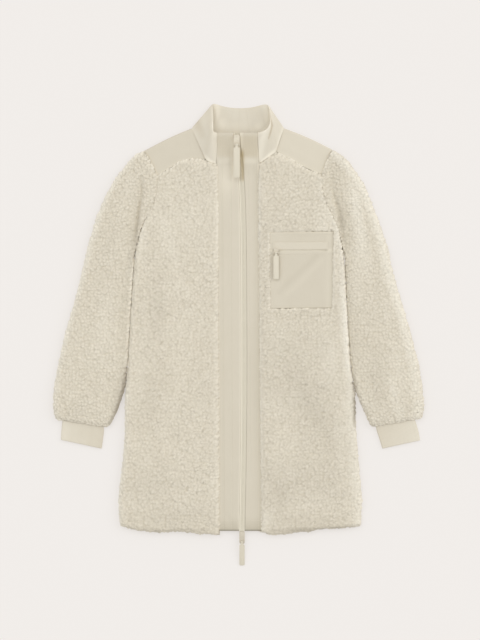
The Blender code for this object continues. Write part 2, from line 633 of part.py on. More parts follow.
def back(collection):
    """The sherpa back, from side seam to side seam, with its pile pressed flat below."""
    edges = {}
    for side, sign in (("right", 1), ("left", -1)):
        armhole = flat(ARMHOLE[side])[BACK_YOKE_SPOT:]
        edges[side] = list(reversed(flat(SIDE[side])))
        edges[side] += [p + Vector((sign * SEAM / 2, 0)) for p in list(reversed(armhole))[1:]]
    neck = [p + Vector((0, -SEAM)) for p in flat(BACK_NECK)]
    top = [edges["right"][-1]] + neck + [edges["left"][-1]]
    top[0] = edges["right"][-1] = top[0] + Vector((0, -SEAM))
    top[-1] = edges["left"][-1] = top[-1] + Vector((0, -SEAM))
    rise = Vector((0, BACK_HEM_RISE))
    hem = [flat(HEM["right"])[-1]]
    hem += [p + rise for p in reversed(flat(HEM["right"])[1:-1])]
    hem += flat([BACK_HEM_MIDDLE])
    hem += [p + rise for p in flat(HEM["left"])[1:-1]]
    hem += [flat(HEM["left"])[-1]]
    radius = SIDE_EDGE.radius
    across = [i / BACK_COLUMNS for i in range(1, BACK_COLUMNS)]
    plan = patch(
        spread(hem, radius, radius, across),
        spread(top, radius, radius, across),
        *(spread(edges[side], HEM_EDGE.radius, PILE_EDGE.radius,
                 inner_shares(edges[side], HEM_EDGE.radius, PILE_EDGE.radius))
          for side in ("right", "left")),
    )
    edge = outer_edges(plan)
    share = heights(plan, HEM_EDGE, PILE_EDGE, edge, edge)
    upper = lifted(plan, lambda i, j, p: SHERPA)
    lower = lifted(plan, lambda i, j, p: SHERPA * (1 - share[i][j]))
    return wall("back", "pile", collection, upper, lower)


def yoke(side, collection):
    """A woven yoke: up from the front's seam, over the shoulder and a little down the back."""
    sign = 1 if side == "right" else -1
    armhole = [p + Vector((sign * SEAM, 0)) for p in flat(ARMHOLE[side])]
    seam = [p + Vector((0, SEAM / 2)) for p in flat(FRONT_TOP[side])[NECK_SPOT[side]:]]
    shoulder = flat(SHOULDER[side])
    inward = Vector((sign * SHOULDER_INWARD.x, SHOULDER_INWARD.y))
    down = inward * (SHOULDER_RADIUS - YOKE / 2)
    fold = [p + down for p in shoulder]
    fold[-1] = at(armhole, SHOULDER_RADIUS - YOKE / 2)
    seam[-1] = armhole[YOKE_SPOT] + Vector((0, SEAM / 2))
    arm_front = [seam[-1], armhole[1], fold[-1]]
    arm_back = [fold[-1], armhole[BACK_YOKE_SPOT] + Vector((0, SEAM / 2))]
    neck_front = evenly([seam[0], fold[0]], NECK_STEPS + 1)
    neck_back = [fold[0], flat(BACK_NECK)[0 if side == "right" else -1]]
    back_seam = evenly([neck_back[-1], arm_back[-1]], len(seam))
    fold_line = spread_like(fold, seam)
    front_part = patch(seam, fold_line, neck_front, arm_front)
    back_part = patch(fold_line, back_seam, neck_back, arm_back)
    rest = YOKE / 2
    ring = SHOULDER_RADIUS - YOKE / 2
    top_level = rest + 2 * ring
    rows = []
    for i, row in enumerate(front_part):
        share = i / (len(front_part) - 1)
        level = YOKE_SEAM_LEVEL + (top_level - YOKE_SEAM_LEVEL) * share ** 2
        rows.append([Vector((p.x, p.y, level)) for p in row])
    for step in range(1, SHOULDER_STEPS):
        angle = math.pi * step / SHOULDER_STEPS
        line = []
        for p, below in zip(front_part[-1], front_part[-2]):
            out = p + (p - below).normalized() * ring * math.sin(angle)
            line.append(Vector((out.x, out.y, rest + ring + ring * math.cos(angle))))
        rows.append(line)
    for row in back_part:
        rows.append([Vector((p.x, p.y, rest)) for p in row])
    outer, inner = thickened(rows, YOKE)
    return wall(f"yoke_{side}", "woven", collection, outer, inner)


def spread_like(line, model):
    """Points along a line at the same shares as the corners of another."""
    total = lengths(model)
    length = lengths(line)[-1]
    return [at(line, length * t / total[-1]) for t in total]


# ---------------------------------------------------------------- sleeves and cuffs

def ring_line(ring, armhole):
    """The line across a flat sleeve from its outer fold to its inner one."""
    outer, inner = Vector((ring.outer_x, ring.outer_y)), Vector((ring.inner_x, ring.inner_y))
    total = lengths(armhole)
    line = []
    for point, t in zip(armhole, total):
        share = t / total[-1]
        bulge = point - armhole[0].lerp(armhole[-1], share)
        line.append(outer.lerp(inner, share) + bulge * ring.bend)
    return line


def tube_rings(line, radius, shares, middle, half, wall_width, slit):
    """Outer and inner ring of a flat tube above and below a line across it."""
    places = spread(line, radius, radius, shares)
    length = lengths(line)[-1]
    across = lengths(places)
    edge = Edge(radius=radius, rim=0.0)
    outer, inner = [], []
    for sign in (1, -1):
        order = range(len(places)) if sign == 1 else range(len(places) - 2, 0, -1)
        for j in order:
            near = min(across[j], across[-1] - across[j])
            height = half * rounding(near, edge)
            p = places[j]
            outer.append(Vector((p.x, p.y, middle + sign * height)))
            deep = max(near, wall_width + FOLD_WALL * near)
            q = at(line, deep if across[j] < length / 2 else length - deep)
            opening = slit if 0 < j < len(places) - 1 else 0.0
            inner.append(Vector((q.x, q.y, middle + sign * opening)))
    return outer, inner


def sleeve(side, collection):
    """A sherpa sleeve: a tube that lies flat, from its cuff up to the armhole."""
    armhole = flat(ARMHOLE[side])
    shares = inner_shares(armhole, SLEEVE_RADIUS, SLEEVE_RADIUS)
    outer, inner = [], []
    for ring in SLEEVE[side]:
        line = ring_line(ring, armhole)
        out, into = tube_rings(line, SLEEVE_RADIUS, shares, SLEEVE_MIDDLE, SLEEVE_MIDDLE,
                               SHERPA, SLEEVE_SLIT)
        for p in out:
            above = p.z - SLEEVE_MIDDLE
            if above > 0:
                grow = ring.puff - fold_depth(p.xy)
                p.z += grow * above / SLEEVE_MIDDLE
            elif ring.puff < PRESSED:
                p.z += ring.puff * above / SLEEVE_MIDDLE
        outer.append(out)
        inner.append(into)
    return wall(f"sleeve_{side}", "pile", collection, outer, inner, wrap=True)


def cuff(side, collection):
    """A rib cuff: a flat tube that slopes down from the sleeve's end to the surface."""
    outer, inner = [], []
    for row in CUFF[side]:
        line = [Vector((row.outer_x, row.outer_y)), Vector((row.inner_x, row.inner_y))]
        out, into = tube_rings(line, CUFF_RADIUS, CUFF_SHARES, row.middle, CUFF_HEIGHT / 2,
                               RIB, (CUFF_HEIGHT - 2 * RIB) / 2)
        outer.append(out)
        inner.append(into)
    return wall(f"cuff_{side}", "rib", collection, outer, inner, wrap=True)


# ---------------------------------------------------------------- collar, plackets and zip

def collar(collection):
    """The rib collar: a strip round the neck that stands up between the two plackets."""
    rows = []
    for k in range(COLLAR_ROWS):
        share = k / (COLLAR_ROWS - 1)
        line = []
        for rib in COLLAR:
            foot = Vector((rib.foot_x, rib.foot_y, rib.foot_z))
            rim = Vector((rib.rim_x, rib.rim_y, rib.rim_z))
            swell = Vector((0, 0, rib.swell * math.sin(math.pi * share)))
            line.append(foot.lerp(rim, share) + swell)
        rows.append(line)
    outer, inner = thickened(rows, RIB)
    for grid in (outer, inner):
        for line in grid:
            for p in line:
                p.z = max(p.z, COLLAR_LOWEST)
    return wall("collar", "rib", collection, outer, inner)


def placket(side, collection):
    """A woven band down one side of the zip, and on up the collar."""
    sign = -1 if side == "right" else 1
    upper, lower = [], []
    for row in MIDDLE:
        edge = getattr(row, side)
        at_zip = row.zip + sign * (ZIP_WIDTH / 2 + SEAM)
        top, under = [], []
        for share in PLACKET_SHARES:
            x = edge + (at_zip - edge) * share
            crown = PLACKET_CROWN * math.sin(share * math.pi / 2)
            under.append(Vector((x, row.y, PLACKET_BASE + row.rise)))
            top.append(Vector((x, row.y, PLACKET_BASE + WOVEN + crown + row.rise)))
        upper.append(top)
        lower.append(under)
    return wall(f"placket_{side}", "woven", collection, upper, lower)


def zip_chain(collection):
    """The zip's two tapes and closed chain as one strip between the plackets."""
    upper, lower = [], []
    for row in MIDDLE:
        face = PLACKET_BASE + WOVEN + PLACKET_CROWN + row.rise - ZIP_SINK
        top, under = [], []
        for share in ZIP_SHARES:
            x = row.zip + ZIP_WIDTH * share
            ridge = ZIP_RIDGE if abs(share) < CHAIN_SHARE else 0.0
            top.append(Vector((x, row.y, face + ridge)))
            under.append(Vector((x, row.y, face - ZIP_THICK)))
        upper.append(top)
        lower.append(under)
    return wall("zip", "zip", collection, upper, lower)


# ---------------------------------------------------------------- pocket

def cut_out(thing, cutter):
    """Takes a cutter's shape out of a thing."""
    cut = thing.modifiers.new("cut", "BOOLEAN")
    cut.operation = "DIFFERENCE"
    cut.object = cutter
    cut.solver = "EXACT"


def pocket_edges(grow):
    """The pocket's four corners, moved out by a distance."""
    middle = sum(flat(POCKET), Vector((0, 0))) / len(POCKET)
    corners = []
    for corner in flat(POCKET):
        way = corner - middle
        corners.append(corner + Vector((math.copysign(grow, way.x), math.copysign(grow, way.y))))
    return corners


def pocket_grid(corners, spacing):
    """A plane grid over the pocket."""
    low, high = [corners[0], corners[1]], [corners[3], corners[2]]
    first, last = [corners[0], corners[3]], [corners[1], corners[2]]
    across = round((low[1] - low[0]).length / spacing)
    up = round((first[1] - first[0]).length / spacing)
    return patch(
        evenly(low, across + 1), evenly(high, across + 1),
        evenly(first, up + 1), evenly(last, up + 1),
    )


def pocket_bed(collection):
    """The cutter for the pressed pile that the pocket lies in."""
    grid = pocket_grid(pocket_edges(POCKET_BED_RIM), POCKET_BED_SPACING)
    upper = lifted(grid, lambda i, j, p: FRONT_BASE + SHERPA * 2)
    lower = lifted(grid, lambda i, j, p: POCKET_BED)
    cutter = wall("pocket_bed", "pile", collection, upper, lower)
    cutter.hide_render = True
    cutter.display_type = "WIRE"
    return cutter


def pocket(collection):
    """The woven chest pocket, in its bed on the left front."""
    grid = pocket_grid(pocket_edges(0.0), POCKET_SPACING)

    def face(i, j, p):
        edge = i in (0, len(grid) - 1) or j in (0, len(grid[0]) - 1)
        return POCKET_TOP - (POCKET_ROUND if edge else 0.0)

    upper = lifted(grid, face)
    lower = lifted(grid, lambda i, j, p: POCKET_BASE)
    return wall("pocket", "woven", collection, upper, lower)


def pocket_zip(collection):
    """The pocket's zip in its welt, a strip across the pocket near its top."""
    low = [Vector((WELT_LEFT, WELT_LOW)), Vector((WELT_RIGHT, WELT_LOW + WELT_SLANT))]
    high = [Vector((WELT_LEFT, WELT_HIGH)), Vector((WELT_RIGHT, WELT_HIGH + WELT_SLANT))]
    sides = []
    for a, b in zip(low, high):
        sides.append([a] + [a.lerp(b, share) for share in WELT_SHARES] + [b])
    grid = patch(evenly(low, WELT_COLUMNS + 1), evenly(high, WELT_COLUMNS + 1), *sides)
    base = POCKET_TOP + SEAM
    teeth = range(1, len(WELT_SHARES) + 1)
    upper = lifted(grid, lambda i, j, p: base + WELT + (TEETH_RISE if i in teeth else 0.0))
    lower = lifted(grid, lambda i, j, p: base)
    return wall("pocket_zip", "zip", collection, upper, lower)


# ---------------------------------------------------------------- sliders and pulls

def box(builder, low, high):
    """A box between two corners."""
    size = high - low
    place = Matrix.Translation((low + high) / 2) @ Matrix.Diagonal((*size, 1.0))
    return bmesh.ops.create_cube(builder, size=1.0, matrix=place)["verts"]


def rod(builder, radius, length, centre, sides=16):
    """A round rod along X."""
    place = Matrix.Translation(centre) @ Matrix.Rotation(math.pi / 2, 4, "Y")
    bmesh.ops.create_cone(builder, cap_ends=True, segments=sides, radius1=radius,
                          radius2=radius, depth=length, matrix=place)


def tool(shapes, name, cutters):
    """A hidden object from a function that fills a bmesh, for a Boolean."""
    builder = bmesh.new()
    shapes(builder)
    thing = finished(builder, name, "metal", cutters)
    thing.hide_render = True
    thing.display_type = "WIRE"
    return thing


def joined(thing, other):
    """Joins another shape to a thing."""
    union = thing.modifiers.new("join", "BOOLEAN")
    union.operation = "UNION"
    union.object = other
    union.solver = "EXACT"


def axis_place(row):
    """The middle of a slider's bar, where its pull turns."""
    turn = Matrix.Rotation(math.radians(row.tilt), 3, "X")
    local = Vector((0, row.axis_shift, row.height + AXIS_RISE))
    return Vector((row.x, row.y, row.z)) + turn @ local


def slider(name, collection, cutters):
    """A zip slider: a flat body and two lugs that carry a bar."""
    row = SLIDERS[name]
    builder = bmesh.new()
    half = row.width / 2
    verts = box(builder, Vector((-half, -row.length / 2, 0)),
                Vector((half, row.length / 2, row.height)))
    upright = [e for e in builder.edges if abs((e.verts[0].co - e.verts[1].co).z) > 1]
    bmesh.ops.bevel(builder, geom=upright, offset=row.width * SLIDER_CORNER, segments=3,
                    profile=0.5, affect="EDGES")
    thing = finished(builder, name, "metal", collection)
    reach = LUG_GAP / 2 + SLIDER_LUG

    def bridge(other):
        for sign in (-1, 1):
            near, far = sign * LUG_GAP / 2, sign * reach
            if row.width / 2 < reach:
                near, far = sign * (half - SLIDER_LUG), sign * half
            low = Vector((min(near, far), row.axis_shift - LUG_REACH, row.height - LUG_ROOT))
            high = Vector((max(near, far), row.axis_shift + LUG_REACH,
                           row.height + AXIS_RISE + LUG_COVER))
            box(other, low, high)

    def bar(other):
        rod(other, SLIDER_BAR, 2 * (min(reach, half) - BAR_SINK),
            Vector((0, row.axis_shift, row.height + AXIS_RISE)))

    joined(thing, tool(bridge, f"{name}_lugs", cutters))
    joined(thing, tool(bar, f"{name}_bar", cutters))
    for item in [thing] + [m.object for m in thing.modifiers]:
        item.location = Vector((row.x, row.y, row.z)) * MM
        item.rotation_euler = (math.radians(row.tilt), 0, 0)
    return thing


def pull(name, slider_name, collection, cutters):
    """A pull tab: an eye on the slider's bar, a narrow neck and a flat tab."""
    row = PULLS[name]
    axis = axis_place(SLIDERS[slider_name])
    wide = KNUCKLE_WIDTH / 2
    if SLIDERS[slider_name].width <= SLIM_SLIDER:
        wide -= SLIM_LESS
    half = row.width / 2
    thick = row.thick / 2
    builder = bmesh.new()
    box(builder, Vector((-half, -row.length, -thick)), Vector((half, -NECK_REACH, thick)))
    upright = [e for e in builder.edges if abs((e.verts[0].co - e.verts[1].co).z) > 1]
    bmesh.ops.bevel(builder, geom=upright, offset=TAB_CORNER, segments=2, profile=0.5,
                    affect="EDGES")
    thing = finished(builder, name, "tab", collection)

    def neck(other):
        box(other, Vector((-wide, -NECK_REACH - 1, -thick * NECK_THIN)),
            Vector((wide, -EYE, thick * NECK_THIN)))

    def eye(other):
        rod(other, KNUCKLE, wide * 2, Vector((0, 0, 0)))

    def bore(other):
        rod(other, EYE, wide * 2 + 2, Vector((0, 0, 0)))

    joined(thing, tool(neck, f"{name}_neck", cutters))
    joined(thing, tool(eye, f"{name}_eye", cutters))
    cut_out(thing, tool(bore, f"{name}_bore", cutters))
    for item in [thing] + [m.object for m in thing.modifiers]:
        item.location = axis * MM
        item.rotation_euler = (math.radians(row.drop), 0, 0)
    return thing


# ---------------------------------------------------------------- the jacket

def clear_scene():
    """Removes what the scene starts with."""
    for thing in list(bpy.data.objects):
        bpy.data.objects.remove(thing)


def new_collection(name):
    """A collection in the scene."""
    made = bpy.data.collections.new(name)
    bpy.context.scene.collection.children.link(made)
    return made


def main():
    clear_scene()
    jacket = new_collection("sherpa_jacket")
    cutters = new_collection("cutters")
    back(jacket)
    for side in ("right", "left"):
        front_panel = front(side, jacket)
        yoke(side, jacket)
        sleeve(side, jacket)
        cuff(side, jacket)
        placket(side, jacket)
    cut_out(front_panel, pocket_bed(cutters))
    collar(jacket)
    zip_chain(jacket)
    pocket(jacket)
    pocket_zip(jacket)
    for pull_name, slider_name in (
        ("pull_top", "slider_top"),
        ("pull_bottom", "slider_bottom"),
        ("pocket_pull", "pocket_slider"),
    ):
        slider(slider_name, jacket, cutters)
        pull(pull_name, slider_name, jacket, cutters)


main()
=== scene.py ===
# %% [markdown]
# # A sherpa jacket, laid flat
#
# The jacket is a long zip-front coat of curly pile with a woven placket, woven yokes
# and a chest pocket, and a ribbed collar and cuffs. It lies on its back on a pale
# surface, and the camera looks straight down on it.
#
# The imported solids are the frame: plain pieces with the right outlines and heights.
# Each lesson below takes one kind of piece, copies its solid, makes it finer and gives
# it the form that only shows close up: curls of pile, ribs, seams, stitches and folds.

import math
from collections import namedtuple

import bmesh
import bpy
import numpy as np
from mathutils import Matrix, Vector
from mathutils.bvhtree import BVHTree


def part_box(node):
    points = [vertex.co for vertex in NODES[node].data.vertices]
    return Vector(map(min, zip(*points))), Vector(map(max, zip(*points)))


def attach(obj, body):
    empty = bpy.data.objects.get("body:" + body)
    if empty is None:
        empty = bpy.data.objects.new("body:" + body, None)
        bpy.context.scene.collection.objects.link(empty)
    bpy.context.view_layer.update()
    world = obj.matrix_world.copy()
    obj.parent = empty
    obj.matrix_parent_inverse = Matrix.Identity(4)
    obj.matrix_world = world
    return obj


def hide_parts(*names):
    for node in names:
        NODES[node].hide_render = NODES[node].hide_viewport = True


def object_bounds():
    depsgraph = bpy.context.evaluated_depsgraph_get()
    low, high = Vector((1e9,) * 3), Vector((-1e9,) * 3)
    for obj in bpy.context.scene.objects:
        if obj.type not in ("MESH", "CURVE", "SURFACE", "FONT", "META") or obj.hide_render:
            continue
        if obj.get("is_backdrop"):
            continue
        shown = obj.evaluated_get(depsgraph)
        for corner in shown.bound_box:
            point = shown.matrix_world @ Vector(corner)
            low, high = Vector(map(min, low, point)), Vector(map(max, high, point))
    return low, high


MM = 0.001
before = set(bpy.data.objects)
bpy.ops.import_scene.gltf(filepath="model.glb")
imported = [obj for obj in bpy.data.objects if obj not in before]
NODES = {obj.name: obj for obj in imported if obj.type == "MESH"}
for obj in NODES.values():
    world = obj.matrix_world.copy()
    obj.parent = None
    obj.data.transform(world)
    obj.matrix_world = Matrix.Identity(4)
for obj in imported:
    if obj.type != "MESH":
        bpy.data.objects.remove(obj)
BODY = "jacket"
solid_box = [list(corner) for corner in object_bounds()]
print("solids:", len(NODES), "box in mm:", [[round(v / MM, 1) for v in c] for c in solid_box])

# %% [markdown]
# ## Camera, floor and light
#
# A flat garment is shot from straight above. A long lens far away keeps the sleeves
# from leaning outwards. The frame is 480 by 640, and the long side is the height, so
# the lens and the distance together set how many millimetres the height spans.

# %% Camera straight above
VIEW_HEIGHT = 1356.8 * MM       # the frame's long side, measured on the garment
VIEW_CENTRE = (4.24 * MM, 32.9 * MM)
LENS = 150.0                    # in mm, as is the sensor's long side
SENSOR = 36.0



def in_scene(name, data):
    """A new object, linked to the scene."""
    thing = bpy.data.objects.new(name, data)
    bpy.context.scene.collection.objects.link(thing)
    return thing


camera = in_scene("camera", bpy.data.cameras.new("camera"))
camera_height = VIEW_HEIGHT * LENS / SENSOR
camera.location = (*VIEW_CENTRE, camera_height)
camera.data.lens = LENS
camera.data.sensor_width = SENSOR
camera.data.clip_end = camera_height * 4
bpy.context.scene.camera = camera
print("camera stands", round(camera_height, 2), "m above the cloth")

# %% [markdown]
# The light is soft and high, as from two large lamps over the garment's top. The right
# one is the stronger and a little warmer, so the pile's right rims are lighter. The left
# one fills the other side, and an even sky the rest, so that the curls stay low in
# contrast.

# %% Two soft lamps and a sky
Lamp = namedtuple("Lamp", "name towards size strength colour")
LAMPS = [
    Lamp("left_lamp", (-0.9, 1.1, 2.2), size=34, strength=0.49, colour=(1.0, 0.99, 0.97)),
    Lamp("right_lamp", (2.0, 0.9, 1.6), size=42, strength=0.585, colour=(1.0, 0.98, 0.95)),
]
SKY = (0.985, 0.99, 1.0)
SKY_STRENGTH = 0.81

for lamp in LAMPS:
    light = bpy.data.lights.new(lamp.name, "SUN")
    light.angle = math.radians(lamp.size)
    light.energy = lamp.strength
    light.color = lamp.colour
    turn = Vector(lamp.towards).to_track_quat("Z", "Y").to_euler()
    in_scene(lamp.name, light).rotation_euler = turn

world = bpy.data.worlds.new("sky")
world.use_nodes = True
backdrop = world.node_tree.nodes["Background"]
backdrop.inputs["Color"].default_value = (*SKY, 1)
backdrop.inputs["Strength"].default_value = SKY_STRENGTH
bpy.context.scene.world = world
bpy.context.scene.view_settings.view_transform = "Standard"

# %% [markdown]
# ## Sums written as Python
#
# A material or a Geometry Nodes tree is a drawing of boxes and wires. For maths it is
# easier to read as an expression. `Wire` holds one output. Adding or multiplying wires
# adds the Math nodes, and a plain number works on either side. A loop gives the class
# one method for each kind of sum.

# %% Wires and graphs
class Wire:
    """One output socket, ready for sums."""

    def __init__(self, graph, socket):
        self.graph = graph
        self.socket = socket

    def of(self, name):
        """Another output of the same node."""
        return Wire(self.graph, self.socket.node.outputs[name])


def sum_method(operation, swapped=False):
    """A method that adds one Math node. Swapped, its own wire is the second number."""
    def method(wire, other=0.0):
        first, second = (other, wire) if swapped else (wire, other)
        return wire.graph.add("ShaderNodeMath", {"operation": operation}, {0: first, 1: second})
    return method


for name, operation in (("add", "ADD"), ("sub", "SUBTRACT"), ("mul", "MULTIPLY"),
                        ("truediv", "DIVIDE"), ("pow", "POWER")):
    setattr(Wire, f"__{name}__", sum_method(operation))
    setattr(Wire, f"__r{name}__", sum_method(operation, swapped=True))
Wire.less, Wire.more, Wire.sine = (sum_method(o) for o in ("MINIMUM", "MAXIMUM", "SINE"))


class Graph:
    """A node tree that nodes are added to."""

    def __init__(self, tree):
        self.tree = tree

    def add(self, kind, settings=None, sockets=None, out=0):
        """Adds a node: its settings first, then the values or wires of its sockets."""
        node = self.tree.nodes.new(kind)
        for name, value in (settings or {}).items():
            setattr(node, name, value)
        for name, value in (sockets or {}).items():
            if isinstance(value, Wire):
                self.tree.links.new(value.socket, node.inputs[name])
            else:
                node.inputs[name].default_value = value
        return Wire(self, node.outputs[out]) if len(node.outputs) else node

    def vector(self, operation, first, second):
        return self.add("ShaderNodeVectorMath", {"operation": operation},
                        {0: first, 1: second})

    def scaled(self, vector, factor):
        return self.add("ShaderNodeVectorMath", {"operation": "SCALE"},
                        {0: vector, "Scale": factor})

    def blend(self, factor, first, second):
        """A mix of two colours."""
        return self.add("ShaderNodeMix", {"data_type": "RGBA"},
                        {"Factor": factor, 6: first, 7: second}, out=2)

    def stored(self, name):
        """A number that is stored on the mesh."""
        return self.add("ShaderNodeAttribute", {"attribute_name": name}, out="Fac")

# %% [markdown]
# ## Cloth and metal
#
# A Principled shader gives each cloth its colour, its dull roughness and the soft sheen
# of fibres that stand off the surface. What changes over the surface, which is colour
# and bump, comes from nodes. What stays the same is set on the shader's own sockets.

# %% A material with a bump
def finish_material(name, roughness, sheen=0.0, specular=0.35):
    """An empty material with its shader, and the graph to draw on."""
    material = bpy.data.materials.new(name)
    material.use_nodes = True
    shader = material.node_tree.nodes["Principled BSDF"]
    for socket, value in {"Roughness": roughness, "Specular IOR Level": specular,
                          "Sheen Weight": sheen, "Sheen Roughness": 0.5,
                          "Sheen Tint": (1.0, 0.97, 0.9, 1)}.items():
        shader.inputs[socket].default_value = value
    return material, shader, Graph(material.node_tree)


def colour_and_bump(graph, shader, colour, height, distance, strength):
    """Links a colour and a height in metres to the shader."""
    bump = graph.add("ShaderNodeBump", {}, {"Strength": strength, "Distance": distance,
                                            "Height": height})
    graph.tree.links.new(colour.socket, shader.inputs["Base Color"])
    graph.tree.links.new(bump.socket, shader.inputs["Normal"])


def place(graph):
    """Where on the object a point lies, in metres."""
    return graph.add("ShaderNodeTexCoord", out="Object")


def noise(graph, where, size, detail=2.0, roughness=0.5):
    """Soft noise whose blobs are about size metres across."""
    return graph.add("ShaderNodeTexNoise", {}, {"Vector": where, "Scale": 1 / size,
                                                "Detail": detail, "Roughness": roughness})

# %% [markdown]
# Sherpa is a knitted backing with long loops that are brushed and steamed until they
# curl into small locks. Light goes deep between the locks, so the hollows look warmer
# and darker: that shade is painted into the colour, from the pile's own height, stored
# on the mesh when the curls are made. Fine noise in the bump stands for single fibres.

# %% Sherpa
# PILE_HOLLOW is painted shade between the locks; the tips and warm clouds are the pile's own
# tone.
PILE_TIP = (0.890, 0.833, 0.710, 1)
PILE_WARM = (0.825, 0.760, 0.635, 1)
PILE_HOLLOW = (0.663, 0.600, 0.475, 1)
PILE_SHADE = (0.40, 0.352, 0.275, 1)     # painted shade in dark patches, and painted shadow under edges
PILE_LIT = (0.99, 0.94, 0.82, 1)       # painted light: at rims, along seams and in lighter patches
STRAND = 1.5 * MM       # from one fibre strand to the next
FLOCK = 4.5 * MM        # size of the lighter and darker flocks that cross the locks
CLOUD = 55 * MM         # size of the large warmer and lighter clouds
STRAY = 1.8 * MM        # how far apart the strands bend
FIBRE = 0.9 * MM        # size of the finest grain


def within_one(wire):
    return wire.more(0.0).less(1.0)


def sherpa_cloth():
    material, shader, g = finish_material("sherpa", roughness=0.95, sheen=0.25, specular=0.1)
    where = place(g)
    cloud = noise(g, where, CLOUD, 3.0)
    tips = g.blend(within_one((cloud - 0.35) * 1.6), PILE_WARM, PILE_TIP)
    flock = noise(g, where, FLOCK, 2.0, 0.6)
    # Painted shade in the hollows from the stored height, then the painted shade and shadow, and
    # the painted light, that the tables put on the mesh.
    depth = within_one((g.stored("pile") - 0.1) * 0.60 + (flock - 0.5) * 0.92 + 0.235)
    colour = g.blend(g.stored("nap"), g.blend(depth, PILE_HOLLOW, tips), PILE_SHADE)
    colour = g.blend(g.stored("lit"), colour, PILE_LIT)
    stray = noise(g, where, STRAY, 2.0, 0.6)
    strands = (g.stored("curl") * (2 * math.pi / STRAND) + stray * 5).sine() * 0.5 + 0.5
    fibre = noise(g, where, FIBRE, 3.0, 0.65)
    colour_and_bump(g, shader, colour, strands * 0.6 + fibre * 0.7, 0.7 * MM, 0.6)
    return material


# %% [markdown]
# The yokes, placket and pocket are a plain tight weave. Up close it is two sets of
# threads that take turns on top: one wave across times one wave along. The threads are
# 0.6 mm wide here, and slow noise keeps the cloth from looking printed.

# %% Tight weave
WOVEN_LIGHT = (0.685, 0.629, 0.516, 1)
WOVEN_DARK = (0.65, 0.594, 0.479, 1)
WOVEN_PAINTED_SHADE = (0.50, 0.45, 0.345, 1)     # painted shade: in seams, beside the pile, on sides and under edges
WARM_PAINTED_SHADE = (0.52, 0.43, 0.27, 1)      # painted warm shade: in the collar's shade and the top pull's shadow
WOVEN_LIT = (0.90, 0.835, 0.69, 1)     # painted light: along raised edges and where the lamps reach
HEM_PAINTED_SHADOW = (0.20, 0.18, 0.14, 1)      # painted shadow under the hem's edge
THREAD = 0.6 * MM
SLUB = 1.6 * MM         # how wide the uneven threads are
WEAVE_CLOUD = 40 * MM


def shaded_and_lit(g, colour, tone, warm, lit):
    """A colour moved towards four others, as far as the mesh's attributes say: painted shade,
    painted warm shade, painted light, and painted shadow under the hem.
    """
    for name, other in (("tone", tone), ("warm", warm), ("lit", lit), ("deep", HEM_PAINTED_SHADOW)):
        colour = g.blend(g.stored(name), colour, other)
    return colour


def woven_cloth(name, light, dark, thread=THREAD):
    material, shader, g = finish_material(name, roughness=0.82, sheen=0.12)
    where = place(g)
    parts = g.add("ShaderNodeSeparateXYZ", {}, {"Vector": where}, out="X")
    turn = math.pi / thread
    weave = (parts * turn).sine() * (parts.of("Y") * turn).sine()
    slub = noise(g, g.vector("MULTIPLY", where, (1.0, 0.12, 1.0)), SLUB)
    shade = (noise(g, where, WEAVE_CLOUD, 3.0) - 0.5) * 0.9 + (slub - 0.5) * 0.7 + 0.5
    plain = g.blend(within_one(shade), dark, light)
    colour = shaded_and_lit(g, plain, WOVEN_PAINTED_SHADE, WARM_PAINTED_SHADE, WOVEN_LIT)
    colour_and_bump(g, shader, colour, weave * 0.5 + slub, 0.12 * MM, 0.5)
    return material


# %% [markdown]
# Ribs, zip tape, teeth, enamelled sliders and the pull tabs need less: the ribs are
# real geometry, and the rest shows only as narrow lines from a step away.

# %% Rib, tape, teeth, enamel and thread
RIB_LIGHT = (0.745, 0.692, 0.578, 1)
RIB_DARK = (0.65, 0.588, 0.467, 1)
RIB_PAINTED_SHADE = (0.46, 0.375, 0.25, 1)
RIB_LIT = (0.95, 0.89, 0.755, 1)
TAPE_LIGHT = (0.685, 0.635, 0.515, 1)
TAPE_DARK = (0.645, 0.595, 0.475, 1)
TOOTH = (0.74, 0.69, 0.565, 1)
ENAMEL = (0.80, 0.735, 0.60, 1)
ENAMEL_WORN = (0.65, 0.585, 0.465, 1)
FINISH_PAINTED_SHADE = (0.50, 0.45, 0.365, 1)
TAB_LIGHT = (0.755, 0.70, 0.575, 1)
TAB_DARK = (0.70, 0.645, 0.52, 1)
THREAD_LIGHT = (0.78, 0.73, 0.60, 1)
THREAD_DARK = (0.68, 0.62, 0.49, 1)
RIB_CLOUD = 30 * MM
KNIT_LOOP = 1.1 * MM


def knit_cloth():
    material, shader, g = finish_material("rib", roughness=0.9, sheen=0.15, specular=0.15)
    where = place(g)
    # Painted shade: the rib's valleys are darker, from the ridge height stored on the mesh;
    # noise adds an uneven tone.
    shade = g.stored("rib") * 0.75 + noise(g, where, RIB_CLOUD) * 0.5
    plain = g.blend(within_one(shade), RIB_DARK, RIB_LIGHT)
    colour = shaded_and_lit(g, plain, RIB_PAINTED_SHADE, RIB_PAINTED_SHADE, RIB_LIT)
    loops = noise(g, g.vector("MULTIPLY", where, (1.6, 1.0, 1.0)), KNIT_LOOP)
    colour_and_bump(g, shader, colour, loops, 0.4 * MM, 0.5)
    return material


def smooth_finish(name, light, dark, roughness, size, depth):
    """A hard or tight finish: two close colours, a fine grain of one size, and painted shade
    where the mesh stores it.
    """
    material, shader, g = finish_material(name, roughness, specular=0.4)
    where = place(g)
    patch = noise(g, where, size * 9, 3.0)
    colour = g.blend(within_one((patch - 0.5) * 2.4 + 0.5), dark, light)
    colour = g.blend(g.stored("tone"), colour, FINISH_PAINTED_SHADE)
    colour_and_bump(g, shader, colour, noise(g, where, size), depth, 0.5)
    return material


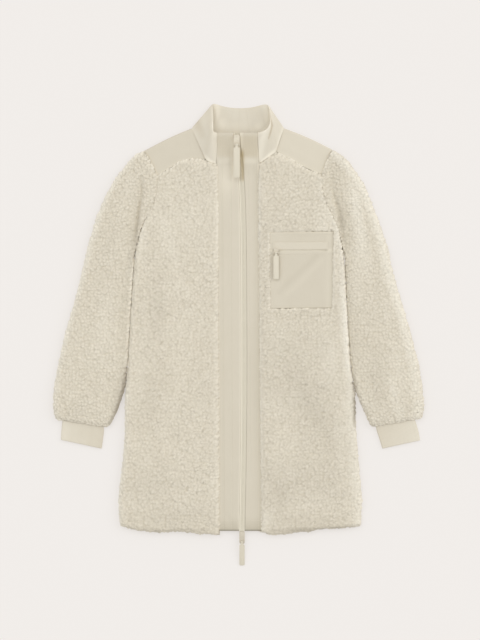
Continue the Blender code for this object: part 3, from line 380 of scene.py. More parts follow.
CLOTH = {
    "sherpa": sherpa_cloth(),
    "woven": woven_cloth("woven", WOVEN_LIGHT, WOVEN_DARK),
    "rib": knit_cloth(),
    "zip_tape": woven_cloth("zip_tape", TAPE_LIGHT, TAPE_DARK, 0.9 * MM),
    "tooth": smooth_finish("tooth", TOOTH, TAPE_LIGHT, 0.45, MM, 0.03 * MM),
    "slider_metal": smooth_finish("enamel", ENAMEL, ENAMEL_WORN, 0.38, 0.9 * MM, 0.03 * MM),
    "pull_tab": woven_cloth("pull_tab", TAB_LIGHT, TAB_DARK, 0.5 * MM),
    "thread": smooth_finish("thread", THREAD_LIGHT, THREAD_DARK, 0.7, 0.4 * MM, 0.05 * MM),
}
print("finishes:", ", ".join(CLOTH))

# %% [markdown]
# ## Finer copies of the solids
#
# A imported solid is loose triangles. A copy is merged first, so that its surface is one
# skin. Each kind of cloth then gets its finer faces in its own way. `dress` says which
# solid a finished piece stands for, and what it moves with.

# %% Copy a solid
def merged_copy(node):
    mesh = bmesh.new()
    mesh.from_mesh(NODES[node].data)
    bmesh.ops.remove_doubles(mesh, verts=mesh.verts, dist=1e-6)
    mesh.normal_update()
    return mesh


def made_object(name, mesh, finish):
    """A new object at the origin from a bmesh, smooth shaded."""
    data = bpy.data.meshes.new(name)
    mesh.to_mesh(data)
    mesh.free()
    data.materials.append(CLOTH[finish])
    data.shade_smooth()
    return in_scene(name, data)


def applied(thing):
    """Applies what modifiers a piece has, and keeps the result as its plain mesh."""
    ready = thing.evaluated_get(bpy.context.evaluated_depsgraph_get())
    mesh = bpy.data.meshes.new_from_object(ready)
    thing.modifiers.clear()
    old, thing.data = thing.data, mesh
    mesh.name = thing.name
    bpy.data.meshes.remove(old)
    return thing


def rows_from(items, key):
    """Rows of x, y, z, read from all items at once."""
    flat = np.empty(len(items) * 3)
    items.foreach_get(key, flat)
    return flat.reshape(-1, 3)


def points_of(thing):
    return rows_from(thing.data.vertices, "co")


def normals_of(thing):
    return rows_from(thing.data.vertex_normals, "vector")


def move_points(thing, points):
    thing.data.vertices.foreach_set("co", points.ravel())
    thing.data.update()


def store(thing, name, values):
    """Keeps one number for each point on the mesh."""
    layer = thing.data.attributes.new(name, "FLOAT", "POINT")
    layer.data.foreach_set("value", np.ascontiguousarray(values, dtype=np.float32))


def dress(thing, node, body=BODY):
    """The piece stands for its solid, which is hidden, and moves with its body."""
    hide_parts(node)
    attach(thing, body)
    print(thing.name, "faces", len(thing.data.polygons))


def bump(away, width):
    """A soft hump of height 1 about 0."""
    return np.exp(-(np.asarray(away) / width) ** 2)

# %% [markdown]
# ## Folds, one by one
#
# Woven cloth that lies flat keeps soft troughs and ridges: down the zip's bands, over
# the yokes and across the pocket. Each is one row: where it starts and ends, how wide
# and deep it is, and how far its middle bows aside. A depth below 0 is a ridge. Rows
# differ in all of these, as real folds do. A trough fades towards its two ends.

# %% Troughs and ridges
Fold = namedtuple("Fold", "x0 y0 x1 y1 bow width depth")


def fold_heights(points, folds):
    """How far each point moves up, in metres."""
    moved = np.zeros(len(points))
    flat = points[:, :2] / MM
    for fold in folds:
        start, end = np.array([fold.x0, fold.y0]), np.array([fold.x1, fold.y1])
        run = end - start
        length = np.linalg.norm(run)
        aside = np.array([-run[1], run[0]]) / length
        share = (flat - start) @ run / length ** 2
        bowed = (flat - start) @ aside - fold.bow * np.sin(np.clip(share, 0, 1) * math.pi)
        beyond = np.maximum(np.maximum(-share, share - 1), 0) * length
        away = np.hypot(bowed, beyond) / fold.width
        taper = np.sin(np.clip(share, 0.04, 0.96) * math.pi) ** 0.6
        moved -= fold.depth * MM * taper * np.exp(-away ** 2)
    return moved

# %% [markdown]
# ## Curls of pile
#
# One way to make pile is to plant thousands of hairs, but they are slow and an export
# drops them. Another is one instance for each curl. Here the surface itself is moved,
# by Geometry Nodes, so that the pile is one closed skin of small round locks.
#
# A Voronoi pattern gives the locks: the distance to a lock's middle makes it a mound,
# and the distance to its border cuts the narrow hollow round it. Noise bends the
# pattern, so that no lock is a neat cell. In each lock the fibres run in arcs round a
# point beside its middle. That distance is stored as "curl" for the material.

# %% The pile tree
PILE_INPUTS = {
    "Lock Size": 6.6 * MM,
    "Lift": 3.1 * MM,
    "Sink": 2.2 * MM,
    "Bend": 2.6 * MM,
    "Push": 1.15 * MM,
    "Tuft": 6.4 * MM,
    "Seed": 3.0,
}
BEND_BLOB = 5 * MM      # size of the noise that bends the locks
SWELL_BLOB = 18 * MM    # size of the slow swells under them
TUFT_BLOB = 8 * MM      # size of the tufts at a free edge


def tree_with(name, numbers):
    """An empty Geometry Nodes tree with named inputs."""
    tree = bpy.data.node_groups.new(name, "GeometryNodeTree")
    tree.interface.new_socket("Geometry", in_out="INPUT", socket_type="NodeSocketGeometry")
    for label in numbers:
        tree.interface.new_socket(label, in_out="INPUT", socket_type="NodeSocketFloat")
    tree.interface.new_socket("Material", in_out="INPUT", socket_type="NodeSocketMaterial")
    tree.interface.new_socket("Geometry", in_out="OUTPUT", socket_type="NodeSocketGeometry")
    return Graph(tree)


def close_tree(g, geometry, material):
    """Ends a tree with real geometry in its material."""
    real = g.add("GeometryNodeRealizeInstances", {}, {"Geometry": geometry})
    dressed = g.add("GeometryNodeSetMaterial", {}, {"Geometry": real, "Material": material})
    g.add("NodeGroupOutput", {}, {"Geometry": dressed})
    return g.tree


def kept(g, geometry, name, value):
    return g.add("GeometryNodeStoreNamedAttribute", {"data_type": "FLOAT", "domain": "POINT"},
                 {"Geometry": geometry, "Name": name, "Value": value})


def read(g, name):
    return g.add("GeometryNodeInputNamedAttribute", {"data_type": "FLOAT"},
                 {"Name": name}, "Attribute")


def pile_tree():
    g = tree_with("pile", PILE_INPUTS)
    given = g.add("NodeGroupInput", out="Geometry")
    x = g.add("ShaderNodeSeparateXYZ", {}, {"Vector": g.add("GeometryNodeInputPosition")}, "X")
    depth = x.of("Z") * 0.7
    flat = g.add("ShaderNodeCombineXYZ", {}, {"X": x + depth + given.of("Seed"),
                                             "Y": x.of("Y") + depth})

    def soft_noise(where, size, detail, kind="2D", out="Fac", roughness=0.5):
        return g.add("ShaderNodeTexNoise", {"noise_dimensions": kind}, {
            "Vector": where, "Scale": 1 / size, "Detail": detail, "Roughness": roughness}, out)

    scatter = g.vector("SUBTRACT", soft_noise(flat, BEND_BLOB, 1.0, out="Color"), (0.5,) * 3)
    bent = g.vector("ADD", flat, g.scaled(scatter, given.of("Bend") * 2))
    cell = {"Vector": bent, "Scale": 1 / given.of("Lock Size"), "Randomness": 0.9}
    lock = g.add("ShaderNodeTexVoronoi", {"voronoi_dimensions": "2D"}, cell, "Distance")
    rim = g.add("ShaderNodeTexVoronoi", {"voronoi_dimensions": "2D",
                                         "feature": "DISTANCE_TO_EDGE"}, cell, "Distance")
    mound = (1 - (lock * 1.15) ** 2).more(0.0)
    hollow = g.add("ShaderNodeMapRange", {"interpolation_type": "SMOOTHSTEP"},
                   {"Value": rim, "From Min": 0.0, "From Max": 0.25})
    rand = g.add("ShaderNodeSeparateXYZ", {}, {"Vector": lock.of("Color")}, "X")
    slow = soft_noise(flat, SWELL_BLOB, 2.0)
    height = (mound * 0.56 + hollow * 0.44) * (rand * 0.3 + 0.72) + (slow - 0.5) * 0.35
    height = height.more(0.0).less(1.0)
    beside = g.add("ShaderNodeCombineXYZ", {}, {"X": rand - 0.5, "Y": rand.of("Y") - 0.5})
    turn_point = g.vector("ADD", lock.of("Position"), g.scaled(beside, given.of("Lock Size")))
    curl = g.add("ShaderNodeVectorMath", {"operation": "DISTANCE"},
                 {0: bent, 1: turn_point}, "Value")
    mask = read(g, "furry")
    normal = g.add("GeometryNodeInputNormal")
    upright = g.add("ShaderNodeSeparateXYZ", {}, {"Vector": normal}, "Z")
    sideways = 1 - upright * upright
    closed = 1 - read(g, "open") * 0.85
    everywhere = g.add("GeometryNodeInputPosition")
    ragged = soft_noise(everywhere, TUFT_BLOB, 1.5, "3D", roughness=0.7)
    tuft = given.of("Tuft") * (ragged - 0.5) * read(g, "edge") * sideways
    push = given.of("Push") * sideways * closed
    rise = (height * given.of("Lift") - given.of("Sink")) * mask + push + tuft
    shaded = height * mask + (1 - mask) * 0.5
    told = kept(g, given, "pile", shaded * (1 - read(g, "shade")))
    told = kept(g, told, "curl", curl)
    moved = g.add("GeometryNodeSetPosition", {}, {
        "Geometry": told, "Offset": g.scaled(normal, rise)})
    return close_tree(g, moved, given.of("Material"))


def run_tree(thing, tree, values):
    """Runs a Geometry Nodes tree on an object and keeps the result as its plain mesh."""
    modifier = thing.modifiers.new(tree.name, "NODES")
    modifier.node_group = tree
    for item in tree.interface.items_tree:
        if item.in_out == "INPUT" and item.name in values:
            modifier[item.identifier] = values[item.name]
    return applied(thing)


PILE = pile_tree()

# %% [markdown]
# ### The sherpa panels
#
# Curls need an even net of small faces to move. A voxel remesh gives one: it fills the
# solid with tiny cubes and wraps them in a skin of equal quads. It also rounds hard
# corners a little, which suits pile.
#
# Where a panel lies on the surface, its own weight presses the curls flat, so there
# only the hollows between the locks go in. The inside of a front is knitted backing.

# %% Sherpa panels
Panel = namedtuple("Panel", "node voxel width length area seed")     # voxel in mm, cut in m
PANELS = [
    Panel("front_right", voxel=1.95, width=0.22, length=0.80, area=0.147, seed=1.0),
    Panel("front_left", voxel=1.95, width=0.22, length=0.82, area=0.151, seed=2.0),
    Panel("sleeve_right", voxel=1.65, width=0.34, length=0.60, area=0.13, seed=3.0),
    Panel("sleeve_left", voxel=1.65, width=0.34, length=0.60, area=0.12, seed=4.0),
    Panel("back", voxel=3.4, width=0.53, length=0.85, area=0.376, seed=5.0),
]
FLOOR_GAP = 0.15 * MM


def in_mm(points):
    """The points' x and y in mm."""
    return points[:, :2].T / MM


def soft_step(values, low, high):
    share = np.clip((values - low) / (high - low), 0, 1)
    return share * share * (3 - 2 * share)


def even_skin(thing, voxel):
    """An even net of quads round the solid. Shells closed up inside it are dropped."""
    modifier = thing.modifiers.new("net", "REMESH")
    modifier.mode = "VOXEL"
    modifier.voxel_size = voxel
    modifier.use_smooth_shade = True
    drop_inner_shells(applied(thing))


def drop_inner_shells(thing):
    """Keeps the largest connected skin."""
    mesh = bmesh.new()
    mesh.from_mesh(thing.data)
    left = set(mesh.verts)
    shells = []
    while left:
        shell = [left.pop()]
        for point in shell:
            found = {edge.other_vert(point) for edge in point.link_edges} & left
            left -= found
            shell += found
        shells.append(shell)
    shells.sort(key=len)
    for shell in shells[:-1]:
        bmesh.ops.delete(mesh, geom=shell, context="VERTS")
    if len(shells) > 1:
        mesh.to_mesh(thing.data)
    mesh.free()


def furry_mask(node, points, normals):
    """1 where curls stand, 0 on a hidden inside."""
    if node.startswith("front"):
        return soft_step(normals[:, 2], -0.75, -0.25)
    if node == "back":
        return 1 - soft_step(normals[:, 2], 0.55, 0.9)
    return np.ones(len(points))


# %% [markdown]
# ### Furrows, pressed pile and ragged edges
#
# Where a sleeve meets the body the pile bends down into a furrow, and one sharp crease
# runs beside the right armhole. Each furrow is a path on one panel. Along the pocket
# and the placket a seam presses the pile flat, so it slopes down over a few
# millimetres. Everywhere else at an edge, tufts stick out and make it ragged.
#
# All of this is kept as short tables of paths and patches, in mm, for each panel.

# %% Paths on the pile
YOKE_EDGE = {"right": [(-95.4, 374.2), (-120.8, 370), (-144.2, 354.5), (-171.7, 338)],
             "left": [(80.6, 389), (116.6, 371), (143, 353.5), (178, 341.3)]}
UNDER_ARM = [(-217, 170), (-222, 139), (-225, 100), (-227, 50), (-230, 12), (-232, -40),
             (-236, -65)]
# Width in mm, depth in mm, how much painted shade it gets there, path. Depths below 0 are fuller
# edges.
FURROWS = {
    "front_right": [
        (7, 3.2, 0.0, [(-30, 355), (-67.8, 371), *YOKE_EDGE["right"], (-200, 322)]),
        (4.0, -2.0, 0.0, [(-200, 240), (-213, 177), (-218, 109), (-223, 30), (-228, -70),
            (-231, -130)]),
        (5, 0.6, 0.75, [(-300, -400), (-229, -409), (-144, -413), (-76, -419), (-20, -421)]),
        (26, 0.4, 0.3, [(-300, -398), (-144, -405), (-20, -410)]),
    ],
    "front_left": [
        (7, 3.2, 0.0, [(25, 350), (55, 370.5), *YOKE_EDGE["left"], (205, 332)]),
        (4.0, -2.0, 0.0, [(203, 240), (219, 177), (224, 109), (228, 30), (234, -70),
            (238, -130)]),
        (5, 0.6, 0.75, [(300, -402), (229, -407), (144, -412), (76, -420), (20, -416)]),
        (22, 0.4, 0.25, [(300, -395), (144, -402), (20, -408)]),
    ],
    "sleeve_right": [
        (3.4, 3.4, 0.8, [(-206, 336), (-203.5, 313), (-206, 292), (-209, 272), (-213, 248),
            (-216, 232)]),
        (4.5, 3.0, 1.0, [(-207, 280), (-211, 258), (-214, 236), (-217, 215), (-220, 190),
            (-221, 165)]),
        (13, 2.2, 0.5, [(-208, 325), (-208, 300), (-214, 272), (-221, 245), (-227, 210),
            (-231, 170), (-236, 120)]),
        (13, 2.0, 0.5, [(-228, 190), (-236, 120), (-240, 60), (-240, 0), (-242, -60),
            (-248, -120)]),
        (6, 2.4, 0.0, [(-225, 420), (-199.3, 390), (-184.4, 365.7), (-171.7, 338), (-165, 322)]),
    ],
    "sleeve_left": [
        (4.5, 3.2, 0.9, [(199, 330), (200, 310), (204, 292), (210, 270), (215, 250), (220, 225),
            (224, 195)]),
        (14, 2.4, 0.6, [(200, 345), (206, 310), (214, 280), (224, 250), (231, 215), (235, 177),
            (237, 130)]),
        (12, 1.8, 0.45, [(234, 130), (238, 60), (242, 0), (246, -60), (252, -110)]),
        (6, 2.4, 0.0, [(225, 420), (199.3, 393), (187.6, 368), (178, 341.3), (172, 325)]),
    ],
}
# Along these seams the pile stays a little open, and a thin dark line shows.
OPEN_SEAMS = [
    [(213, 262), (216, 235), (222, 196), (226, 150)],
    [(-203, 240), (-212, 205), (-219, 165)],
]

# %% [markdown]
# Painted light and painted shadow at the edges come next. A rim of pile that stands free,
# or lies over a neighbour, lets light through, and gets painted light. Under an edge the
# pile gets painted shadow: where the sleeves leave the body, and in the armholes. A row is
# a width in mm, an amount and a path. `FREE_RIM` and `BODY_RIM` are the rims all along a
# sleeve and below the armholes.

# %% Light rims and deep shadows
RIMS = {
    "front_right": [
        (7, 0.32, [(-199, 300), (-203, 262), (-206, 235), (-211, 195)]),
        (3, 0.85, UNDER_ARM),
        (3.0, 0.45, [(-44, 358), (-43.5, 250), (-43, 160)]),
        (5, 0.12, [(-46, 300), (-45, 160), (-44, -160), (-44, -410)]),
        (2.5, 0.5, [(-44, 362), (-67.8, 371), *YOKE_EDGE["right"]]),
    ],
    "front_left": [
        (9, 0.42, [(186, 283), (199, 256), (211, 225), (220, 177), (225, 109)]),
        (11, 0.70, [(222, 130), (226, 60), (230, 0), (236, -80), (240, -110)]),
        (3.0, 0.5, [(44, 358), (45, 160)]),
        (2.5, 0.4, [(45, 160), (48, -160), (51, -410)]),
        (2.5, 0.5, [(43, 362), (55, 370.5), *YOKE_EDGE["left"]]),
        (2.2, 0.34, [(67, 57), (201, 58.5), (204.5, 220), (65, 219), (67, 57)]),
    ],
    "sleeve_right": [
        (6, 0.12, [(-222, 200), (-229, 160), (-234, 120)]),
        (3, 0.85, UNDER_ARM),
        (2.5, 0.25, [(-199.3, 390), (-184.4, 365.7), (-171.7, 338)]),
    ],
    "sleeve_left": [
        (2.5, 0.3, [(228, 150), (231, 80), (235, 0), (238, -40)]),
        (2.5, 0.25, [(199.3, 393), (187.6, 368), (178, 341.3)]),
    ],
    "yoke_right": [
        (2.2, 0.45, [*YOKE_EDGE["right"], (-184.4, 365.7)]),
    ],
    "yoke_left": [
        (2.2, 0.45, [*YOKE_EDGE["left"], (187.6, 368)]),
    ],
}
FREE_RIM = {"right": (9.0, 0.60, 0.0), "left": (13.0, 0.56, 10.0)}   # width, amount, inset
BODY_RIM = {"right": (9.0, 0.80), "left": (17.0, 0.36)}              # width, amount
SHADOWS = {
    "front_right": [
        (2.5, 0.5, [(-239, -85), (-241, -120), (-242, -160)]),
        (5.0, 0.22, [(-70, -411), (-150, -413), (-200, -411)]),
    ],
    "front_left": [
        (4.5, 1.0, [(243, -102), (247, -124), (247, -150), (247, -172), (248, -190)]),
        (6.0, 0.4, [(70, -412), (180, -411), (256, -404)]),
        (4.0, 0.35, [(211, 252), (215, 228), (218, 204)]),
    ],
    "sleeve_right": [
        (5.0, 1.0, [(-236, -70), (-243, -112), (-251, -141), (-263, -172), (-270, -186)]),
        (11.0, 0.34, [(-238, -80), (-246, -115), (-257, -150)]),
        (7.0, 0.26, [(-213, 250), (-218, 215), (-223, 180), (-228, 140)]),
        (3.0, 0.4, [(-209, 262), (-213, 235), (-215, 205), (-217, 180)]),
    ],
    "sleeve_left": [
        (3.0, 0.4, [(244, -85), (252, -116)]),
        (3.0, 0.4, [(213, 262), (217, 235), (220, 200)]),
    ],
}

# %% [markdown]
# Large soft patches of painted shade and painted light stand for the soft shading that
# the drape and the lean of the nap give the pile. A row is the patch's x and y, half its
# length and half its width in mm, its turn in degrees from the x axis, and its amount. A
# patch with an amount below 0 is painted light.

# %% Patches of painted light and shade, and the hem
SHADE_AND_LIGHT_PATCHES = {
    "front_right": [
        (-170, 60, 75, 19, 92, 0.15), (-182, -137, 60, 26, 90, 0.11),
        (-178, -315, 62, 40, 0, 0.13), (-148, -385, 55, 20, 0, 0.14),
        (-75, -375, 40, 22, 0, 0.07), (-142, 190, 60, 14, -72, -0.16),
        (-90, 255, 90, 50, 0, -0.10), (-203, 235, 58, 11, 88, -0.30),
        (-197, 290, 40, 12, 85, -0.14), (-70, -106, 22, 16, 90, 0.11),
    ],
    "front_left": [
        (158, -152, 112, 31, -57, 0.22), (195, -300, 85, 24, -85, 0.07),
        (85, -115, 45, 14, -50, 0.10), (138, -222, 44, 20, 90, 0.09),
        (165, -302, 66, 34, 0, 0.07), (54, -392, 24, 13, 60, -0.28),
        (80, -358, 32, 16, 60, 0.11), (122, -283, 48, 15, 0, 0.09),
        (190, -338, 62, 14, 5, 0.09), (197, -52, 50, 20, 85, -0.20),
        (218, -225, 65, 14, -85, -0.15), (88, -325, 52, 26, -65, 0.17),
        (185, 308, 44, 13, 97, -0.36), (181, 195, 62, 17, 90, -0.28),
        (184, -31, 27, 15, 90, 0.09), (174, -106, 32, 20, 0, 0.09),
        (158, 47, 55, 13, 0, 0.09), (142, -312, 50, 20, 12, 0.11),
        (142, -393, 70, 16, 0, 0.12), (130, -40, 90, 62, 0, 0.075),
        (58, -80, 320, 11, 90, 0.08), (90, 235, 40, 45, 0, 0.06),
        (212, 86, 30, 13, 90, 0.11), (62, 202, 30, 9, 90, 0.15), (65, 98, 34, 9, 90, 0.12),
    ],
    "sleeve_right": [
        (-235, 306, 42, 13, 75, -0.12), (-286, 20, 75, 19, 82, -0.16),
        (-268, 215, 45, 22, 75, 0.07), (-335, -150, 30, 22, 60, 0.09),
    ],
    "sleeve_left": [
        (333, -130, 60, 12, -75, -0.26), (205, 384, 28, 15, -48, 0.28),
        (257, 232, 100, 14, -80, -0.40), (252, 290, 36, 12, -84, -0.30),
        (252, 98, 45, 12, 92, -0.14), (221, 238, 42, 8, 95, 0.30),
        (249, 176, 40, 10, 88, -0.15), (339, -62, 55, 12, -75, -0.20),
        (316, 45, 30, 12, -75, -0.15), (300, -125, 45, 28, 90, 0.10),
        (288, -60, 70, 20, -80, 0.09),
    ],
}

# The hem is not straight: how far its locks hang down, in mm, at places across it.
HEM_LOBES = [
    (-240, 0.0), (-195, 0.6), (-178, 2.0), (-165, 2.0), (-153, 1.4), (-144, -0.4), (-127, -2.0),
    (-115, -1.2), (-102, -1.5), (-85, -0.6), (-68, -1.6), (-55, -0.4), (-20, 0.0), (50, 0.2),
    (64, 0.6), (81, 1.9), (98, 2.0), (114, -0.4), (131, -1.8), (140, 0.3), (148, 1.2),
    (157, 0.2), (165, -2.0), (199, -2.0), (216, -1.4), (233, -2.0), (246, -0.2),
]


# %% [markdown]
# These functions read the tables: how near a point is to a path or a patch, and so how
# deep, how dark and how light the pile is there.

# %% From tables to numbers on the pile
def from_path(points, path):
    """Each point's distance in mm from a path, and its share of the way along it."""
    flat = points[:, :2] / MM
    path = np.array(path, dtype=float)
    lengths = np.linalg.norm(np.diff(path, axis=0), axis=1)
    before = np.concatenate([[0], np.cumsum(lengths)])
    best, share = np.full(len(flat), 1e9), np.zeros(len(flat))
    for a, b, start, length in zip(path, path[1:], before, lengths):
        along = np.clip((flat - a) @ (b - a) / length ** 2, 0, 1)
        away = np.linalg.norm(flat - a - along[:, None] * (b - a), axis=1)
        near = away < best
        best[near] = away[near]
        share[near] = (start + along[near] * length) / before[-1]
    return best, share


def along_paths(rows, points, ends=(0.06, 0.35)):
    """The strongest of the soft lines at each point. They fade at their ends."""
    cut, power = ends
    amount = np.zeros(len(points))
    for width, most, path in rows:
        away, share = from_path(points, path)
        fade = np.sin(np.clip(share, cut, 1 - cut) * math.pi) ** power
        amount = np.maximum(amount, most * bump(away, width) * fade)
    return amount


def furrows(panel, points, normals):
    """How far the top goes down, in mm, and how much painted shade it gets there."""
    deeper, shade = np.zeros(len(points)), np.zeros(len(points))
    top = soft_step(normals[:, 2], 0.0, 0.5)
    for width, depth, darkness, path in FURROWS.get(panel, []):
        amount = along_paths([(width, 1, path)], points, (0.05, 0.5)) * top
        deeper += depth * amount
        shade = 1 - (1 - shade) * (1 - darkness * amount)
    return deeper, shade


def painted_patches(panel, points):
    """How much painted shade and painted light the patches give the pile, with the painted
    shadows under its edges added to the shade.
    """
    darker, lighter = np.zeros(len(points)), np.zeros(len(points))
    for x, y, long, wide, degrees, amount in SHADE_AND_LIGHT_PATCHES.get(panel, []):
        cos, sin = math.cos(math.radians(degrees)), math.sin(math.radians(degrees))
        east, north = in_mm(points) - np.array([[x], [y]])
        along, aside = (east * cos + north * sin) / long, (north * cos - east * sin) / wide
        patch = abs(amount) * np.exp(-(along ** 2 + aside ** 2))
        if amount > 0:
            darker = 1 - (1 - darker) * (1 - patch)
        else:
            lighter = 1 - (1 - lighter) * (1 - patch)
    darker = np.maximum(darker * (1 - lighter), along_paths(SHADOWS.get(panel, []), points))
    return darker, lighter


def at(rows, place, column=1):
    """One column of a table's rows, at places between the rows."""
    return np.interp(place, [row[0] for row in rows], [row[column] for row in rows])


def hang(panel, points):
    """Moves the hem's locks down or up, in mm."""
    x, y = in_mm(points)
    return -at(HEM_LOBES, x) * (1 - soft_step(y, -408, -375)) * (not panel.startswith("sleeve"))


# Half the width of the whole outline, and of the body, at heights in mm.
OUTER_EDGE = [(-190, 385), (-150, 392), (-60, 381), (50, 354), (147, 326), (194, 316),
              (245, 300), (291, 282), (333, 260), (368, 233), (390, 205)]
BODY_EDGE = [(-402, 256), (-352, 258), (-255, 248), (-152, 243), (-101, 240)]


def rims(panel, points):
    """How much painted light the pile gets at its rims, as light comes through them, 0 to 1."""
    lit = along_paths(RIMS.get(panel, []), points)
    x, y = in_mm(points)
    outline, body = at(OUTER_EDGE, y), at(BODY_EDGE, y)
    for side, sign in (("right", -1), ("left", 1)):
        out = sign * x
        if panel == f"sleeve_{side}":
            width, amount, inset = FREE_RIM[side]
            lower = 0.6 + 0.4 * soft_step(y, -140, 40)
            rim = amount * bump(np.maximum(outline - out, 0) - inset, width)
            lit = np.maximum(lit, rim * lower * (out > 0.6 * outline))
        if panel in (f"front_{side}", "back"):
            width, amount = BODY_RIM[side]
            free = (1 - soft_step(y, -130, -70)) * (out > 0)
            lit = np.maximum(lit, amount * bump(np.maximum(body - out, 0), width) * free)
    return np.clip(lit, 0, 1)


# %% [markdown]
# ### Pile against its neighbours
#
# A seam presses the pile flat beside it. The outer locks still lean over the edges of
# what is sewn on, and below an armhole they lean into the notch from both sides.

# %% Pressed pile and leaning locks
PRESS_POCKET = {"left": (9.0, 2.6), "right": (5.0, 1.6), "low": (4.5, 1.8), "high": (5.5, 2.0)}
PRESS_PLACKET = {"front_right": (9.0, 3.6), "front_left": (8.0, 3.4)}
POCKET_BOX = (67.5, 201.5, 58.0, 219.0)
# y, and the outer edges of the right and the left placket there
PLACKET_EDGE = [(-413.5, -39.8, 51.0), (-320, -40.0, 49.6), (-160, -40.8, 47.6),
                (0, -41.6, 46.2), (160, -42.4, 45.0), (300, -43.3, 44.0), (371, -43.8, 43.0)]
LOCKS_OVER_EDGE = 1.7     # how far the outer locks lean over a sewn-on edge
NOTCH_SLEEVE = {"right": 1.0, "left": 1.2}      # how far the sleeve's locks lean inwards
NOTCH_BODY = {"right": (1.6, -122, 20, 240), "left": (2.8, -126, 24, 242)}


def pressed(panel, points, normals):
    """How far seams press the pile down, in mm, and where it lies under the pocket."""
    x, y = in_mm(points)
    top = soft_step(normals[:, 2], 0.0, 0.5)
    down, under = np.zeros(len(points)), np.zeros(len(points))
    if panel in PRESS_PLACKET:
        width, depth = PRESS_PLACKET[panel]
        edge = at(PLACKET_EDGE, y, 1 if panel == "front_right" else 2)
        down += depth * (1 - soft_step(np.abs(x - edge), 0, width)) * top
    if panel == "front_left":
        west, east, south, north = POCKET_BOX
        sides = {"left": west - x, "right": x - east, "low": south - y, "high": y - north}
        outside = np.maximum.reduce(list(sides.values()))
        for name, away in sides.items():
            width, depth = PRESS_POCKET[name]
            mine = (away > outside - 0.01) & (away > -1)
            down += np.where(mine, depth * (1 - soft_step(away, 0, width)) * top, 0)
        under = (1 - soft_step(outside, -0.5, 0.8)) * top
    return down, under


def lean(panel, points):
    """Moves the pile sideways, in mm: over sewn-on edges, and below the armholes."""
    x, y = in_mm(points)
    moved = np.zeros(len(points))
    for column, side, sign in ((1, "right", -1), (2, "left", 1)):
        if panel == f"sleeve_{side}":
            near = bump(y + 112, 20) * (1 - soft_step(sign * x, 246, 270))
            moved -= sign * NOTCH_SLEEVE[side] * near
        if panel == f"front_{side}":
            inner = at(PLACKET_EDGE, y, column)
            moved -= sign * LOCKS_OVER_EDGE * bump(x - inner - 2 * sign, 5)
            most, middle, reach, limit = NOTCH_BODY[side]
            moved += sign * most * bump(y - middle, reach) * soft_step(sign * x, 222, limit)
    if panel == "front_left":
        west, east, south, north = POCKET_BOX
        beside = soft_step(y, south, south + 8) * (1 - soft_step(y, north - 8, north))
        over = bump(x - west + 2, 4) - bump(x - east - 2, 4)
        moved += LOCKS_OVER_EDGE * over * beside
    return moved


def ragged_edge(panel, points):
    """1 at the jacket's free edges, 0 where a panel is sewn to a neighbour."""
    x, y = in_mm(points)
    if panel.startswith("sleeve"):
        return np.where(np.abs(x) > 245 + np.clip(-y, 0, 300) * 0.1, 1.0, 0.15) * (y > -175)
    from_placket = np.minimum(np.abs(x + 42), np.abs(x - 46))
    return ((y < -60) & (from_placket > 6)) * 1.0


# %% [markdown]
# A sleeve is a tube, and lying flat it is two layers of cloth. The remesh closes the
# narrow slit between them, so the sleeve's inside wall is put back from the solid.

# %% Inside of a sleeve
SLEEVE_MIDDLE = 8.35    # height of the slit
SLEEVE_SLIT = 0.4       # faces within this height of it look into the slit


def inside_wall(node):
    """The faces of a sleeve's solid that look into the slit, closed at both ends."""
    mesh = merged_copy(node)
    others = [face for face in mesh.faces if abs(face.normal.z) < 0.5
              or any(abs(v.co.z / MM - SLEEVE_MIDDLE) > SLEEVE_SLIT for v in face.verts)]
    bmesh.ops.delete(mesh, geom=others, context="FACES")
    bmesh.ops.holes_fill(mesh, edges=[edge for edge in mesh.edges if edge.is_boundary])
    return mesh


def add_inside(thing, node):
    inside, wall, both = bpy.data.meshes.new("inside"), inside_wall(node), bmesh.new()
    wall.to_mesh(inside)
    wall.free()
    both.from_mesh(thing.data)
    both.from_mesh(inside)
    both.to_mesh(thing.data)
    both.free()
    bpy.data.meshes.remove(inside)


for panel in PANELS:
    thing = made_object(panel.node + "_pile", merged_copy(panel.node), "sherpa")
    even_skin(thing, panel.voxel * MM)
    points, normals = points_of(thing), normals_of(thing)
    deeper, shade = furrows(panel.node, points, normals)
    down, under = pressed(panel.node, points, normals)
    points[:, 2] -= (deeper + down) * MM
    points[:, 0] += lean(panel.node, points) * MM
    points[:, 1] += hang(panel.node, points) * MM
    move_points(thing, points)
    # The patches' painted shade and light, the painted shadows and the rims' painted light go on
    # the mesh for the material.
    darker, lighter = painted_patches(panel.node, points)
    opened = np.maximum.reduce([bump(from_path(points, path)[0], 5.0) for path in OPEN_SEAMS])
    numbers = {"furry": furry_mask(panel.node, points, normals) * (1 - under), "shade": shade,
               "open": opened, "edge": ragged_edge(panel.node, points), "nap": darker}
    for name, values in numbers.items():
        store(thing, name, values)
    lit = np.maximum(rims(panel.node, points), lighter)
    store(thing, "lit", lit * (1 - along_paths(SHADOWS.get(panel.node, []), points)))
    run_tree(thing, PILE, {**PILE_INPUTS, "Seed": panel.seed, "Material": CLOTH["sherpa"]})
    points = points_of(thing)
    points[:, 2] = np.maximum(points[:, 2], FLOOR_GAP)
    move_points(thing, points)
    if panel.node.startswith("sleeve"):
        add_inside(thing, panel.node)
    dress(thing, panel.node)

# %% [markdown]
# ## Shells from rows of points
#
# Rib and woven pieces follow rules: a few rows of measured points, with smooth curves
# between them. `smooth_rows` puts a Catmull-Rom curve through the rows, and `shell`
# joins an upper and a lower net of points into one closed piece of cloth.

